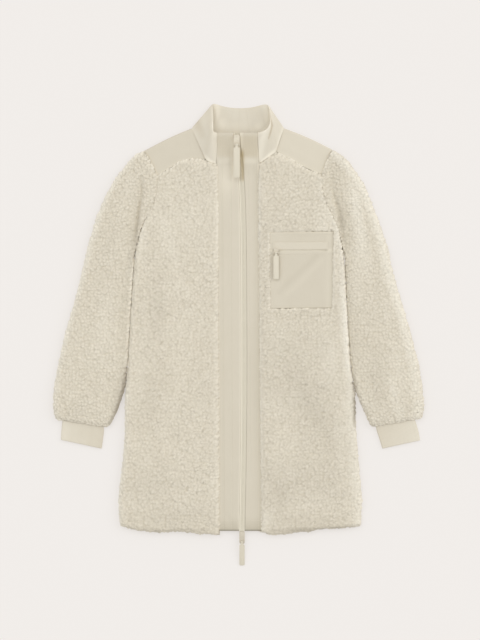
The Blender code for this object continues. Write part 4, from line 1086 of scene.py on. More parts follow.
# %% Smooth rows and closed shells
def smooth_rows(rows, places):
    """Values on smooth curves through the rows, at places counted in rows."""
    rows = np.asarray(rows, dtype=float)
    last = len(rows) - 1
    places = np.clip(np.asarray(places, dtype=float), 0, last)
    start = np.minimum(places.astype(int), last - 1)
    t = (places - start).reshape((-1,) + (1,) * (rows.ndim - 1))
    before, after = rows[np.maximum(start - 1, 0)], rows[np.minimum(start + 2, last)]
    a, b = rows[start], rows[start + 1]
    return (a + 0.5 * t * (b - before)
            + t ** 2 * (before - 2.5 * a + 2 * b - 0.5 * after)
            + t ** 3 * (1.5 * (a - b) + 0.5 * (after - before)))


def shell(name, upper, lower, finish, wrap=False):
    """A closed piece between two nets of points in mm, rows by columns by x, y, z."""
    rows, columns = upper.shape[:2]
    points = np.concatenate([upper.reshape(-1, 3), lower.reshape(-1, 3)]) * MM
    points[:, 2] = np.maximum(points[:, 2], FLOOR_GAP)
    under = rows * columns
    number = np.arange(under).reshape(rows, columns)
    beside = np.roll(number, -1, axis=1) if wrap else number[:, 1:]
    here = number if wrap else number[:, :-1]
    top = np.stack([here[:-1], beside[:-1], beside[1:], here[1:]], axis=-1).reshape(-1, 4)
    faces = [top, top[:, ::-1] + under]
    for line, turn in ((0, 1), (-1, -1)):
        a, b = here[line].ravel(), beside[line].ravel()
        faces.append(np.stack([a, a + under, b + under, b], axis=-1)[:, ::turn])
    if not wrap:
        for line, turn in ((0, -1), (-1, 1)):
            a, b = number[:-1, line], number[1:, line]
            faces.append(np.stack([a, a + under, b + under, b], axis=-1)[:, ::turn])
    data = bpy.data.meshes.new(name)
    data.from_pydata(points.tolist(), [], np.concatenate(faces).tolist())
    data.materials.append(CLOTH[finish])
    mesh = bmesh.new()
    mesh.from_mesh(data)
    bmesh.ops.recalc_face_normals(mesh, faces=mesh.faces)
    mesh.to_mesh(data)
    mesh.free()
    data.shade_smooth()
    data.set_sharp_from_angle(angle=math.radians(50))
    return in_scene(name, data)


# %% [markdown]
# ## The ribbed collar
#
# The collar is one strip of double rib, sewn round the neck and standing up round it.
# Its rows are the upright lines of the rib, from the right front edge round the back to
# the left front edge: each has its foot on the neck seam, its rim and its outward swell.
# The ribs are real ridges, about 2.4 mm apart, and they run out where the edge is bound.

# %% Collar
# foot x, y, z, rim x, y, z, and swell
COLLAR = [
    (-45.6, 365.5, 10.6, -45.4, 428.0, 26.0, 0.0),
    (-52.0, 367.5, 12.0, -50.5, 430.0, 31.0, 1.5),
    (-60.0, 370.5, 12.6, -52.6, 436.0, 33.0, 2.5),
    (-66.8, 374.5, 12.2, -52.9, 445.0, 31.5, 3.0),
    (-72.4, 386.0, 11.8, -52.6, 456.0, 28.0, 2.5),
    (-80.9, 405.0, 11.0, -52.8, 468.0, 23.0, 2.0),
    (-88.4, 422.0, 9.8, -53.4, 479.0, 17.0, 1.5),
    (-93.6, 434.0, 8.4, -53.8, 487.0, 11.0, 0.8),
    (-94.6, 441.0, 5.6, -52.2, 490.2, 6.2, 0.0),
    (-88.0, 442.0, 2.4, -46.0, 490.0, 2.6, 0.0),
    (-74.0, 437.5, 1.6, -36.0, 487.0, 1.6, 0.0),
    (-56.0, 428.6, 1.6, -26.0, 484.5, 1.6, 0.0),
    (-34.0, 422.0, 1.6, -14.0, 482.6, 1.6, 0.0),
    (0.0, 419.0, 1.6, 4.0, 481.6, 1.6, 0.0),
    (34.0, 422.0, 1.6, 22.0, 482.6, 1.6, 0.0),
    (56.0, 428.6, 1.6, 34.0, 484.5, 1.6, 0.0),
    (74.0, 437.5, 1.6, 44.0, 487.0, 1.6, 0.0),
    (88.0, 442.0, 2.4, 54.0, 489.2, 2.6, 0.0),
    (94.6, 441.0, 5.6, 61.0, 489.0, 6.2, 0.0),
    (93.9, 434.0, 8.4, 64.5, 485.0, 11.0, 0.8),
    (89.3, 421.0, 9.8, 66.0, 477.0, 17.0, 1.5),
    (83.6, 404.0, 11.0, 67.0, 467.0, 23.0, 2.0),
    (78.8, 390.5, 11.8, 68.0, 456.0, 28.0, 2.5),
    (68.0, 382.5, 12.2, 66.4, 445.0, 31.5, 3.0),
    (59.0, 376.0, 12.6, 61.0, 436.0, 33.0, 2.5),
    (51.5, 371.0, 12.0, 51.5, 430.5, 31.0, 1.5),
    (44.9, 367.5, 10.6, 42.4, 428.5, 26.0, 0.0),
]
RIB_PITCH = 2.4
RIB_HEIGHT = 0.38
RIB_WALL = 2.7
COLLAR_TALL = 62        # from its foot to its rim
COLLAR_COLUMNS = 620
COLLAR_STEPS = 22

# The collar's fronts fold back on its inside along two slits. Painted shadow lies along
# the slits and painted shade in a few broader bands; painted light lies on its raised
# edges and the cloth beside them, which are the lightest, and along its seams. Width in
# mm, amount, path.
COLLAR_SHADOWS = [
    (1.6, 0.9, [(-47.5, 480), (-48.8, 462), (-50.6, 448), (-51.4, 434)]),
    (1.8, 0.9, [(65.5, 480), (68.5, 462), (71.9, 443), (69.5, 432), (64.5, 416)]),
    (9.0, 0.3, [(-93, 470), (-82, 440), (-75, 424)]),
    (10.0, 0.15, [(-60, 485), (-60, 450), (-58, 432)]),
    (15.0, 0.07, [(8, 482), (46, 480)]),
]
COLLAR_LIT = [
    (9.0, 0.8, [(-46, 495), (-47, 460), (-48, 425)]),
    (9.0, 0.75, [(62, 495), (62, 460), (60, 440), (50, 428)]),
    (8.0, 0.6, [(66, 440), (56, 430), (49, 410), (44, 370), (43, 350)]),
    (7.0, 0.18, [(-54, 450), (-53, 420), (-50, 380), (-49, 350)]),
    (12.0, 0.32, [(-40, 438), (-10, 440), (20, 439), (48, 436)]),
    (15.0, 0.75, [(-46, 460), (-38, 444), (-24, 438)]),
    (7.0, 1.0, [(-51, 458), (-50, 440), (-45, 431), (-34, 428)]),
    (13.0, 0.8, [(58, 456), (50, 442), (34, 434)]),
    (7.0, 1.0, [(67, 458), (62, 443), (54, 434), (40, 428)]),
    (4.0, 0.9, [(-43, 360), (-58, 368), (-70, 378)]),
    (4.0, 0.9, [(42, 362), (58, 374), (82, 394)]),
    (3.0, 0.5, [(80, 390), (89, 418), (96, 442)]),
    (5.0, 0.3, [(-40, 362), (-43, 400), (-43, 430)]),
]


def ridges(distance):
    """The height of a rib, 0 to 1, at a distance along the knit in mm."""
    return np.sqrt(np.abs(np.cos(math.pi * np.asarray(distance) / RIB_PITCH)))


def net_normals(net):
    """Unit normals of a net of points."""
    normal = np.cross(np.gradient(net, axis=1), np.gradient(net, axis=0))
    return normal / np.maximum(np.linalg.norm(normal, axis=2, keepdims=True), 1e-9)


def store_both(thing, name, values):
    """Keeps a net's numbers on both sides of a shell."""
    store(thing, name, np.concatenate([values.ravel(), values.ravel()]))


def collar():
    table = smooth_rows(COLLAR, np.linspace(0, len(COLLAR) - 1, COLLAR_COLUMNS))
    foot, rim, swell = table[:, 0:3], table[:, 3:6], table[:, 6]
    share = np.linspace(-0.03, 1, COLLAR_STEPS)[:, None]
    middle = foot[None] * (1 - share[:, :, None]) + rim[None] * share[:, :, None]
    middle[:, :, 2] += swell[None] * np.sin(math.pi * np.clip(share, 0, 1))
    half_way = middle[COLLAR_STEPS // 2]
    run = np.concatenate([[0], np.cumsum(np.linalg.norm(np.diff(half_way, axis=0), axis=1))])
    rim_near = (1 - share) * COLLAR_TALL
    ridge = ridges(run)[None, :] * (1 - bump(rim_near, 3.0) * 0.7)
    thin = RIB_WALL / 2 * (1 - 0.75 * bump(rim_near, 1.4))
    grow = net_normals(middle) * (thin + RIB_HEIGHT * (ridge - 0.5))[:, :, None]
    thing = shell("collar_rib", middle + grow, middle - grow, "rib")
    store_both(thing, "rib", ridge)
    for name, marks in (("tone", COLLAR_SHADOWS), ("lit", COLLAR_LIT)):
        store(thing, name, along_paths(marks, points_of(thing), (0.1, 0.5)))
    return thing


dress(collar(), "collar")

# %% [markdown]
# ## Ribbed cuffs
#
# A cuff is a tube of the same rib, folded double at the hand. Lying flat, it is two
# layers with a round fold at each side. The ribs run along the arm.

# %% Cuffs
# From the seam to the hand: outer side's x, y, inner side's x, y, and height of the middle
CUFF = {
    "right": [
        (-371.0, -179.7, -284.5, -192.6, 6.2),
        (-373.0, -190.0, -284.0, -203.2, 4.6),
        (-374.5, -206.0, -286.0, -219.5, 3.5),
        (-375.2, -217.0, -288.0, -233.5, 3.3),
        (-375.0, -221.0, -289.2, -239.5, 3.3),
    ],
    "left": [
        (374.5, -177.8, 291.5, -191.7, 6.2),
        (378.0, -188.0, 294.0, -202.0, 4.6),
        (382.5, -204.0, 299.5, -219.0, 3.5),
        (385.0, -217.5, 304.0, -234.0, 3.3),
        (385.6, -222.0, 306.0, -239.5, 3.3),
    ],
}
CUFF_HALF = 3.3         # half the height of the flat tube
CUFF_LENGTH = 46
CUFF_WALL = 2.4
CUFF_SLIT = 0.35        # half the height of the opening
CUFF_AROUND, CUFF_STEPS = 300, 22
CUFF_PAINTED_SHADE = 0.07        # painted shade: more on the inner side, none on the outer


def cuff(side):
    rows = np.array(CUFF[side])
    table = smooth_rows(rows, np.linspace(0, len(rows) - 1, CUFF_STEPS))
    width = np.linalg.norm(table[0, 0:2] - table[0, 2:4])
    turn = np.linspace(0, 2 * width, CUFF_AROUND, endpoint=False)
    along = turn / width
    across = np.where(along < 1, along, 2 - along)
    near = np.minimum(across, 1 - across) * width
    round_edge = np.sqrt(1 - (1 - np.clip(near / CUFF_HALF, 0, 1)) ** 2)
    level = np.where(along < 1, 1, -1) * round_edge
    soft_end = bump(np.linspace(CUFF_LENGTH, 0, CUFF_STEPS)[:, None], 2.6)
    ridge = ridges(turn)[None, :] * (1 - 0.6 * soft_end)
    outer = np.empty((CUFF_STEPS, CUFF_AROUND, 3))
    for k in range(2):
        outer[:, :, k] = table[:, k, None] * (1 - across) + table[:, k + 2, None] * across
    tall = CUFF_HALF * (1 - 0.35 * soft_end) - 0.2
    outer[:, :, 2] = table[:, 4, None] + level * (tall + RIB_HEIGHT * (ridge - 0.4))
    centre = outer.mean(axis=1, keepdims=True)
    inner = centre + (outer - centre) * (1 - 2 * CUFF_WALL / width)
    inner[:, :, 2] = table[:, 4, None] + level * CUFF_SLIT
    thing = shell(f"cuff_{side}_rib", outer, inner, "rib", wrap=True)
    store_both(thing, "rib", ridge)
    out = np.abs(points_of(thing)[:, 0]) / MM
    # Painted shade on the inner side, none on the outer; painted light on the outer side.
    store(thing, "tone", np.clip(CUFF_PAINTED_SHADE * (1 + (335 - out) / 30), 0, 1))
    store(thing, "lit", 0.1 * soft_step(out, 340, 388))
    return thing


for side in ("right", "left"):
    dress(cuff(side), f"cuff_{side}")

# %% [markdown]
# ## Placket and zip
#
# Two bands of doubled woven cloth run down the front, one on each side of the zip. Each
# is folded at both edges, so its edges are round, and lines of stitching pull it in.
# The rows give the bands' edges and the zip's middle from the hem to the collar. Across
# a band, columns crowd where the cloth bends: at the two edges and at each seam.

# %% Rows of the middle
Middle = namedtuple("Middle", "y right zip left rise")
MIDDLE = [
    Middle(-413.5, -39.8, 8.5, 51.0, 0.0),
    Middle(-395.0, -39.8, 8.8, 50.8, 0.0),
    Middle(-320.0, -40.0, 10.2, 49.6, 0.4),
    Middle(-240.0, -40.4, 11.5, 48.4, 0.0),
    Middle(-160.0, -40.8, 12.3, 47.6, 0.5),
    Middle(-80.0, -41.2, 12.7, 46.9, 0.2),
    Middle(0.0, -41.6, 12.7, 46.2, 0.0),
    Middle(80.0, -42.0, 12.4, 45.6, 0.5),
    Middle(160.0, -42.4, 12.0, 45.0, 0.2),
    Middle(240.0, -42.9, 10.8, 44.4, 0.0),
    Middle(300.0, -43.3, 8.8, 44.0, 0.2),
    Middle(340.0, -43.6, 6.4, 43.7, 0.6),
    Middle(360.0, -43.8, 4.8, 43.4, 2.2),
    Middle(371.0, -43.8, 3.5, 43.0, 4.6),
    Middle(382.0, -43.7, 2.0, 42.4, 5.8),
    Middle(398.0, -43.6, -0.6, 41.6, 8.6),
    Middle(414.0, -43.5, -2.4, 41.0, 12.4),
    Middle(428.0, -43.5, -3.4, 40.6, 16.0),
]
ROW_STEP = 4.4
MIDDLE_FINE = smooth_rows(MIDDLE, np.linspace(0, len(MIDDLE) - 1, 34 * len(MIDDLE)))
row_count = int((MIDDLE[-1].y - MIDDLE[0].y) / ROW_STEP)
ROW_Y = np.linspace(MIDDLE[0].y, MIDDLE[-1].y, row_count)
MIDDLE_AT = {
    name: np.interp(ROW_Y, MIDDLE_FINE[:, 0], MIDDLE_FINE[:, column])
    for column, name in enumerate(Middle._fields)
}
PLACKET_BASE = 8.7
PLACKET_THICK = 2.2
PLACKET_CROWN = 1.4
ZIP_HALF = 6.0
COLUMN_STEP = 2.4
EDGE_ROLL = 1.3         # radius of a folded edge
SEAM_DEPTH = 0.34       # how far a line of stitches pulls the cloth in
SEAM_WIDTH = 1.5
HEM_SEAM = 22           # from the hem to the line of stitches across a band

# %% [markdown]
# Each stitched seam is a distance from the band's outer edge. The bands' folds are long
# and shallow, and the right one has a short crease by the hem, as the photograph shows.

# %% Plackets
PLACKET_SEAMS = {"right": (10.2, 28.5), "left": (6.0, 22.5)}
PLACKET_LIP = {"right": 0.75, "left": 0.3}
PLACKET_LIT = {"right": 0.4, "left": 0.05}
BESIDE_PILE = 0.45      # painted light on the cloth beside the pile's rim
HEM_SHADOW_SPAN = (-413.7, -411.2)         # y where the painted shadow under the hem ends
COLLAR_SHADE_START = (374, 382)         # y where the collar's painted shade sets in
TAB_SHADOW_SPAN = (325.5, 327.5, 382, 398)      # y where the top pull's painted shadow sets in, and where it ends
PLACKET_FOLDS = [
    Fold(-25, 230, -22, 90, bow=2, width=6, depth=0.45),
    Fold(-18, 20, -24, -70, bow=-2, width=7, depth=0.5),
    Fold(-27, -110, -20, -230, bow=3, width=5, depth=0.4),
    Fold(-13, -250, -16, -372, bow=-1, width=5, depth=-0.35),
    Fold(-29, -372, -12, -411, bow=1, width=6, depth=0.9),
    Fold(30, 300, 27, 190, bow=1, width=6, depth=0.45),
    Fold(34, 60, 30, -40, bow=-2, width=6, depth=0.5),
    Fold(27, -90, 33, -210, bow=2, width=5, depth=0.4),
    Fold(38, -260, 41, -390, bow=-1, width=5, depth=-0.35),
    Fold(-36, 372, -12, 365, bow=2, width=5, depth=-1.0),
    Fold(8, 366, 38, 370, bow=1, width=5, depth=-0.9),
    Fold(-34, 400, -14, 396, bow=-2, width=8, depth=0.9),
    Fold(12, 396, 36, 401, bow=2, width=7, depth=0.8),
]


def crowded(width, seams):
    """Distances across a band, close together at its edges and its seams."""
    places = [0.0, 0.12, 0.4, 0.8, EDGE_ROLL]
    places += [width - p for p in places]
    for seam in seams:
        places += [seam + aside for aside in (-1.8, -1.0, -0.5, 0, 0.5, 1.0, 1.8)]
    places += list(np.arange(EDGE_ROLL + 1.5, width - EDGE_ROLL - 1, COLUMN_STEP))
    places = np.array(sorted(places))
    return places[np.concatenate([[True], np.diff(places) > 0.1])]


def rolled(near):
    """Share of the full height at a distance from a folded edge."""
    return np.sqrt(1 - (1 - np.clip(near / EDGE_ROLL, 0, 1)) ** 2) * 0.7 + 0.3


def placket_shade(side, outer_near, y):
    """How much painted shade the cloth gets: in its seams or beside the pile, a little more
    towards the hem and most at the hem itself, and none in the collar.
    """
    if side == "right":
        tone = 0.10 * bump(outer_near - PLACKET_SEAMS[side][0], 2.4)
        tone += 0.08 * bump(outer_near - PLACKET_SEAMS[side][1], 1.2)
    else:
        tone = 0.22 * (1 - soft_step(outer_near, 0, 22)) + 0.06 * bump(outer_near - 3, 3.5)
        tone += 0.14 * bump(y + 80, 110)
    tone = tone + 0.11 * (1 - soft_step(y, -420, 150))
    inside_collar = soft_step(y, *COLLAR_SHADE_START)
    hem_shade = 0.62 * (1 - soft_step(y, -414, -380))
    return np.clip(tone * (1 - inside_collar) + hem_shade, 0, 1)


def warm_shade_share(x, y):
    """How much painted warm shade the cloth gets: in the collar's shade, most of all in the top
    pull's painted shadow beside it.
    """
    shade_amount = (0.22 + 0.1 * soft_step(x, 2, 8)) * soft_step(y, *COLLAR_SHADE_START)
    shade_amount = shade_amount * (1 - soft_step(y, 415, 432))
    beside = soft_step(x, 3.0, 5.5) * (1 - soft_step(x, 11.0, 14.5))
    pull = 0.8 * beside * soft_step(y, *TAB_SHADOW_SPAN[:2]) * (1 - soft_step(y, *TAB_SHADOW_SPAN[2:]))
    return np.clip(shade_amount + pull, 0, 1)


def placket_lit(side, outer_near, zip_near, x, y):
    """How much painted light the cloth gets: along raised edges, beside the pile, near the
    collar, the top pull and the slider, and in one broad spot; less where the painted warm shade
    lies.
    """
    below_collar = 0.8 * bump(outer_near, 2.0) * bump(y - 350, 26)
    beside_tab = 0.4 * bump(x + 12, 5.0) * soft_step(y, 318, 330) * (1 - soft_step(y, 405, 420))
    above_slider = 0.45 * bump(x - 7, 4.0) * soft_step(y, 393, 403)
    at_neck_seam = 0.35 * bump(y - 368, 5.5) * soft_step(outer_near, 0, 6)
    spot = 0.42 * bump(np.hypot(x + 25, (y - 334) / 2), 18)
    lit = np.maximum.reduce([PLACKET_LIT[side] * bump(zip_near - 1.4, 1.6),
                             BESIDE_PILE * bump(outer_near, 1.6), below_collar, beside_tab,
                             above_slider, at_neck_seam, spot])
    return lit * (1 - warm_shade_share(x, y))


def placket(side):
    sign = -1 if side == "right" else 1
    at_collar = soft_step(ROW_Y, 362, 374)
    edge = MIDDLE_AT[side] + sign * (0.35 + 0.75 * at_collar)
    at_zip = MIDDLE_AT["zip"] + sign * (ZIP_HALF + 0.05)
    width = np.abs(at_zip - edge)
    middle_width = float(np.median(width))
    across = crowded(middle_width, PLACKET_SEAMS[side])
    share = (across / middle_width)[None, :]
    x = edge[:, None] * (1 - share) + at_zip[:, None] * share
    y = ROW_Y[:, None].repeat(len(across), axis=1)
    outer_near, zip_near = share * width[:, None], (1 - share) * width[:, None]
    hem_near = (ROW_Y - ROW_Y[0])[:, None]
    rim_near = (ROW_Y[-1] - ROW_Y)[:, None]
    round_all = rolled(outer_near) * rolled(zip_near) * rolled(hem_near) * rolled(rim_near)
    level = PLACKET_BASE + MIDDLE_AT["rise"][:, None]
    top = level + PLACKET_THICK * round_all + PLACKET_CROWN * np.sin(share * math.pi / 2)
    top += PLACKET_LIP[side] * bump(zip_near - 1.6, 1.5)
    for seam in PLACKET_SEAMS[side]:
        top -= SEAM_DEPTH * bump(outer_near - seam, SEAM_WIDTH / 2)
    top -= SEAM_DEPTH * bump(hem_near - HEM_SEAM, SEAM_WIDTH / 2)
    upper = np.stack([x, y, top], axis=-1)
    flat = upper.reshape(-1, 3) * MM
    upper[:, :, 2] += fold_heights(flat, PLACKET_FOLDS).reshape(top.shape) / MM
    under = np.broadcast_to(level, top.shape)
    upper[:, :, 2] = np.maximum(upper[:, :, 2], under + 0.3)
    thing = shell(f"placket_{side}_cloth", upper, np.stack([x, y, under], axis=-1), "woven")
    store_both(thing, "tone", placket_shade(side, outer_near, y))
    store_both(thing, "warm", warm_shade_share(x, y))
    store_both(thing, "lit", placket_lit(side, outer_near, zip_near, x, y))
    store_both(thing, "deep", 0.85 * (1 - soft_step(y, *HEM_SHADOW_SPAN)))
    return thing


placket_of = {}
for side in ("right", "left"):
    placket_of[side] = placket(side)
    dress(placket_of[side], f"placket_{side}")

# %% [markdown]
# The zip is two woven tapes side by side, and a coil is sewn along the inner edge of
# each. Closed, the coils grip each other and make the chain. Here the tapes are one
# strip with a groove down the middle and a low chain bed.

# %% Zip tapes
CHAIN_HALF = 2.4
CHAIN_RISE = 0.35       # the chain's bed over the tapes, and the groove down its middle
TAPE_SINK = 0.55        # how far the tapes lie below the plackets' crowns
TAPE_THICK = 1.6


def strip_across(half):
    places = [0.0, 0.25, 0.6, 1.1, CHAIN_HALF - 0.5, CHAIN_HALF, CHAIN_HALF + 0.5,
              half - 1.6, half - 0.5, half]
    return np.array([-p for p in reversed(places)] + places[1:])


def zip_strip():
    across = strip_across(ZIP_HALF)[None, :]
    x = MIDDLE_AT["zip"][:, None] + across
    y = ROW_Y[:, None].repeat(across.shape[1], axis=1)
    face = PLACKET_BASE + PLACKET_THICK + PLACKET_CROWN + MIDDLE_AT["rise"][:, None] - TAPE_SINK
    bed = CHAIN_RISE * np.clip((CHAIN_HALF + 0.5 - np.abs(across)) / 0.6, 0, 1)
    under_lip = 0.5 * soft_step(np.abs(across), ZIP_HALF - 1.6, ZIP_HALF - 0.6)
    top = face + bed + under_lip - CHAIN_RISE * bump(across, 0.5)
    upper = np.stack([x, y, top], axis=-1)
    lower = np.stack([x, y, np.broadcast_to(face - TAPE_THICK, top.shape)], axis=-1)
    return shell("zip_tapes", upper, lower, "zip_tape")


zip_tapes = zip_strip()
strip_net = points_of(zip_tapes) / MM
from_left = strip_net[:, 0] - np.interp(strip_net[:, 1], ROW_Y, MIDDLE_AT["zip"]) + ZIP_HALF
tape_warm_shade = warm_shade_share(strip_net[:, 0], strip_net[:, 1])
# Painted light along the tapes' left edge, less in the painted warm shade beside the top pull,
# which is stored too.
store(zip_tapes, "lit", 0.5 * (1 - soft_step(from_left, 1.2, 2.6)) * (1 - tape_warm_shade))
store(zip_tapes, "warm", tape_warm_shade)
dress(zip_tapes, "zip")

# %% [markdown]
# ## Things that repeat along a line
#
# Teeth and stitches are the same small bead set along a line, so one Geometry Nodes
# tree makes both. It steps along the line, turns each bead to follow it, and can set
# every second bead to the other side, as the teeth of a zip are.

# %% The bead tree
BEAD_INPUTS = {"Pitch": 3.4 * MM, "Long": 2.4 * MM, "Wide": 0.55 * MM, "High": 0.4 * MM,
               "Aside": 0.0}


def bead_tree():
    g = tree_with("beads", BEAD_INPUTS)
    given = g.add("NodeGroupInput", out="Geometry")
    line = g.add("GeometryNodeMeshToCurve", {}, {"Mesh": given})
    steps = g.add("GeometryNodeCurveToPoints", {"mode": "LENGTH"},
                  {"Curve": line, "Length": given.of("Pitch")}, "Points")
    turned = g.add("FunctionNodeAlignRotationToVector", {"axis": "X"},
                   {"Vector": steps.of("Tangent")})
    level = g.add("FunctionNodeAlignRotationToVector", {"axis": "Z", "pivot_axis": "X"},
                  {"Rotation": turned, "Vector": (0.0, 0.0, 1.0)})
    number = g.add("GeometryNodeInputIndex")
    swap = g.add("ShaderNodeMath", {"operation": "MODULO"}, {0: number, 1: 2.0}) * 2 - 1
    sideways = g.vector("CROSS_PRODUCT", steps.of("Tangent"), (0.0, 0.0, 1.0))
    shifted = g.add("GeometryNodeSetPosition", {}, {
        "Geometry": steps, "Offset": g.scaled(sideways, given.of("Aside") * swap)})
    bead = g.add("GeometryNodeMeshIcoSphere", {}, {"Radius": 0.5, "Subdivisions": 1}, "Mesh")
    size = g.add("ShaderNodeCombineXYZ", {}, {"X": given.of("Long"), "Y": given.of("Wide"),
                                             "Z": given.of("High")})
    placed = g.add("GeometryNodeInstanceOnPoints", {}, {
        "Points": shifted, "Instance": bead, "Rotation": level, "Scale": size})
    real = g.add("GeometryNodeRealizeInstances", {}, {"Geometry": placed})
    smooth = g.add("GeometryNodeSetShadeSmooth", {}, {"Geometry": real})
    return close_tree(g, smooth, given.of("Material"))


BEADS = bead_tree()


def top_of(thing):
    """A search tree that finds the surface straight below a point."""
    data = thing.data
    return BVHTree.FromPolygons([v.co for v in data.vertices],
                                [p.vertices[:] for p in data.polygons])


def laid_line(points, surface, above):
    """Points in mm, dropped on a surface from over it, a little above it."""
    out = []
    for x, y in points:
        hit = surface.ray_cast(Vector((x * MM, y * MM, 0.2)), Vector((0, 0, -1)))[0]
        if hit is not None:
            out.append((hit.x, hit.y, hit.z + above * MM))
    return out


def beads(name, lines, finish, node_body=BODY, slot="woven", **sizes):
    """Beads along several lines as one piece."""
    points, edges = [], []
    for line in lines:
        first = len(points)
        points += line
        edges += [(i, i + 1) for i in range(first, len(points) - 1)]
    data = bpy.data.meshes.new(name)
    data.from_pydata(points, edges, [])
    thing = in_scene(name, data)
    run_tree(thing, BEADS, {**BEAD_INPUTS, **sizes, "Material": CLOTH[finish]})
    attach(thing, node_body)
    print(name, "faces", len(thing.data.polygons))


# %% Teeth and placket seams
TOOTH_PITCH = 0.85 * MM
zip_line = list(zip(MIDDLE_AT["zip"], ROW_Y))[2:-6]
beads("zip_teeth", [laid_line(zip_line, top_of(zip_tapes), 0.1)], "tooth", slot="zip_tape",
      Pitch=TOOTH_PITCH, Long=1.25 * MM, Wide=2.3 * MM, High=1.0 * MM, Aside=0.95 * MM)

STITCH_SINK = -0.02     # a stitch's middle lies a little below the cloth's face
STITCH = 3.6 * MM
placket_stitches = []
for side in ("right", "left"):
    sign = -1 if side == "right" else 1
    surface = top_of(placket_of[side])
    edge, at_zip = MIDDLE_AT[side], MIDDLE_AT["zip"] + sign * ZIP_HALF
    middle_width = float(np.median(np.abs(at_zip - edge)))
    for seam in PLACKET_SEAMS[side]:
        share = seam / middle_width
        line = [(e * (1 - share) + z * share, y) for e, z, y in zip(edge, at_zip, ROW_Y)]
        placket_stitches.append(laid_line(line[1:-1], surface, STITCH_SINK))
    ends = edge[6] - sign * 2, at_zip[6] + sign * 2
    hem = [(x, ROW_Y[0] + HEM_SEAM) for x in np.linspace(*ends, 16)]
    placket_stitches.append(laid_line(hem, surface, STITCH_SINK))
beads("placket_stitches", placket_stitches, "thread", Pitch=STITCH)

# %% [markdown]
# ## Yokes
#
# A yoke lies over the shoulder: plain woven cloth, set where sherpa would be too thick
# under a bag's strap. Its solid already has the fold over the shoulder, in a few large
# faces. Subdivision rounds them, and creased edges keep the cut edges where they are.

# %% Soft copies of a solid
EDGE_ANGLE = math.radians(48)


def soft_copy(name, node, finish, levels):
    mesh = merged_copy(node)
    bmesh.ops.join_triangles(mesh, faces=mesh.faces, angle_face_threshold=math.radians(25),
                             angle_shape_threshold=math.radians(75))
    crease = mesh.edges.layers.float.new("crease_edge")
    for edge in mesh.edges:
        if len(edge.link_faces) == 2 and edge.calc_face_angle() > EDGE_ANGLE:
            edge[crease] = 0.85
    thing = made_object(name, mesh, finish)
    soft = thing.modifiers.new("soft", "SUBSURF")
    soft.levels = soft.render_levels = levels
    return applied(thing)


YOKE_FOLDS = [
    Fold(-110, 425, -128, 380, bow=3, width=9, depth=0.7),
    Fold(-160, 402, -168, 356, bow=-3, width=7, depth=0.6),
    Fold(-96, 392, -150, 374, bow=-3, width=6, depth=-0.5),
    Fold(112, 424, 130, 382, bow=-3, width=9, depth=0.6),
    Fold(158, 404, 170, 356, bow=3, width=8, depth=0.7),
    Fold(92, 400, 150, 372, bow=3, width=6, depth=-0.5),
]
# Painted light: some over all of the left yoke, and along the edges beside the pile. Painted
# shade on the faces that don't look up.
YOKE_LIT = {"right": 0.0, "left": 0.15}
YOKE_SIDE_SHADE = {"right": 0.45, "left": 0.15}
for side in ("right", "left"):
    thing = soft_copy(f"yoke_{side}_cloth", f"yoke_{side}", "woven", 3)
    points, normals = points_of(thing), normals_of(thing)
    front = soft_step(normals[:, 2], 0.2, 0.8)[:, None]
    points[:, 2:] += fold_heights(points, YOKE_FOLDS)[:, None] * front
    points[:, 2] = np.maximum(points[:, 2], FLOOR_GAP)
    move_points(thing, points)
    store(thing, "lit", np.clip(rims(f"yoke_{side}", points) + YOKE_LIT[side], 0, 1))
    store(thing, "tone", YOKE_SIDE_SHADE[side] * (1 - front[:, 0]))
    dress(thing, f"yoke_{side}")

# %% [markdown]
# ## Chest pocket
#
# A woven patch is sewn on the left front, in pile that its seam presses flat. A folded
# welt across it hides a zip, and only the zip's lower edge and its slider show. The
# patch's edges are folded under, so they are round, and a line of stitches runs about
# 4 mm inside them.

# %% Pocket patch
POCKET = np.array([[69.0, 57.0], [199.5, 58.5], [203.0, 220.0], [66.5, 218.5]])
POCKET_BASE = 11.7
POCKET_TOP = 13.9
POCKET_SEAM = 4.2
CROSS_SEAMS = (7.5, 48.5)       # two more, down from the pocket's upper edge
POCKET_FOLDS = [
    Fold(154.8, 170.7, 93.3, 109.2, bow=-4, width=6, depth=0.55),
    Fold(170.0, 120.0, 128.0, 74.0, bow=3, width=8, depth=0.45),
    Fold(188.0, 172.0, 190.0, 90.0, bow=-4, width=6, depth=0.35),
    Fold(100.0, 165.0, 84.0, 80.0, bow=3, width=8, depth=-0.35),
    Fold(120.0, 208.0, 170.0, 206.0, bow=1, width=5, depth=0.3),
]
# One crease crosses the patch: the paths of its painted shadow, and of the painted light on its
# lower side.
CREASE_SHADOW_PATH = [(87, 92), (108, 115), (135, 138), (164, 167)]
CREASE_LIGHT_PATH = [(104, 88), (128, 110), (152, 134), (176, 158)]
UNDER_WELT = 122.0      # how far up the patch the painted light below the welt lies


def corner_net(corners, across, up):
    """Points inside four corners, from shares across and up: first is low left."""
    a, u = across[None, :, None], up[:, None, None]
    low = corners[0] * (1 - a) + corners[1] * a
    high = corners[3] * (1 - a) + corners[2] * a
    return low * (1 - u) + high * u


def size_of(corners):
    """The width and the height between four corners."""
    return np.linalg.norm(corners[1] - corners[0]), np.linalg.norm(corners[3] - corners[0])


def sewn_patch(name, net, top, base, folds):
    """Woven cloth with its folds, between a net of tops and a flat base, in mm."""
    upper = np.concatenate([net, top[:, :, None]], axis=-1)
    upper[:, :, 2] += fold_heights(upper.reshape(-1, 3) * MM, folds).reshape(top.shape) / MM
    lower = np.concatenate([net, np.full(top.shape + (1,), base)], axis=-1)
    return shell(name, upper, lower, "woven")


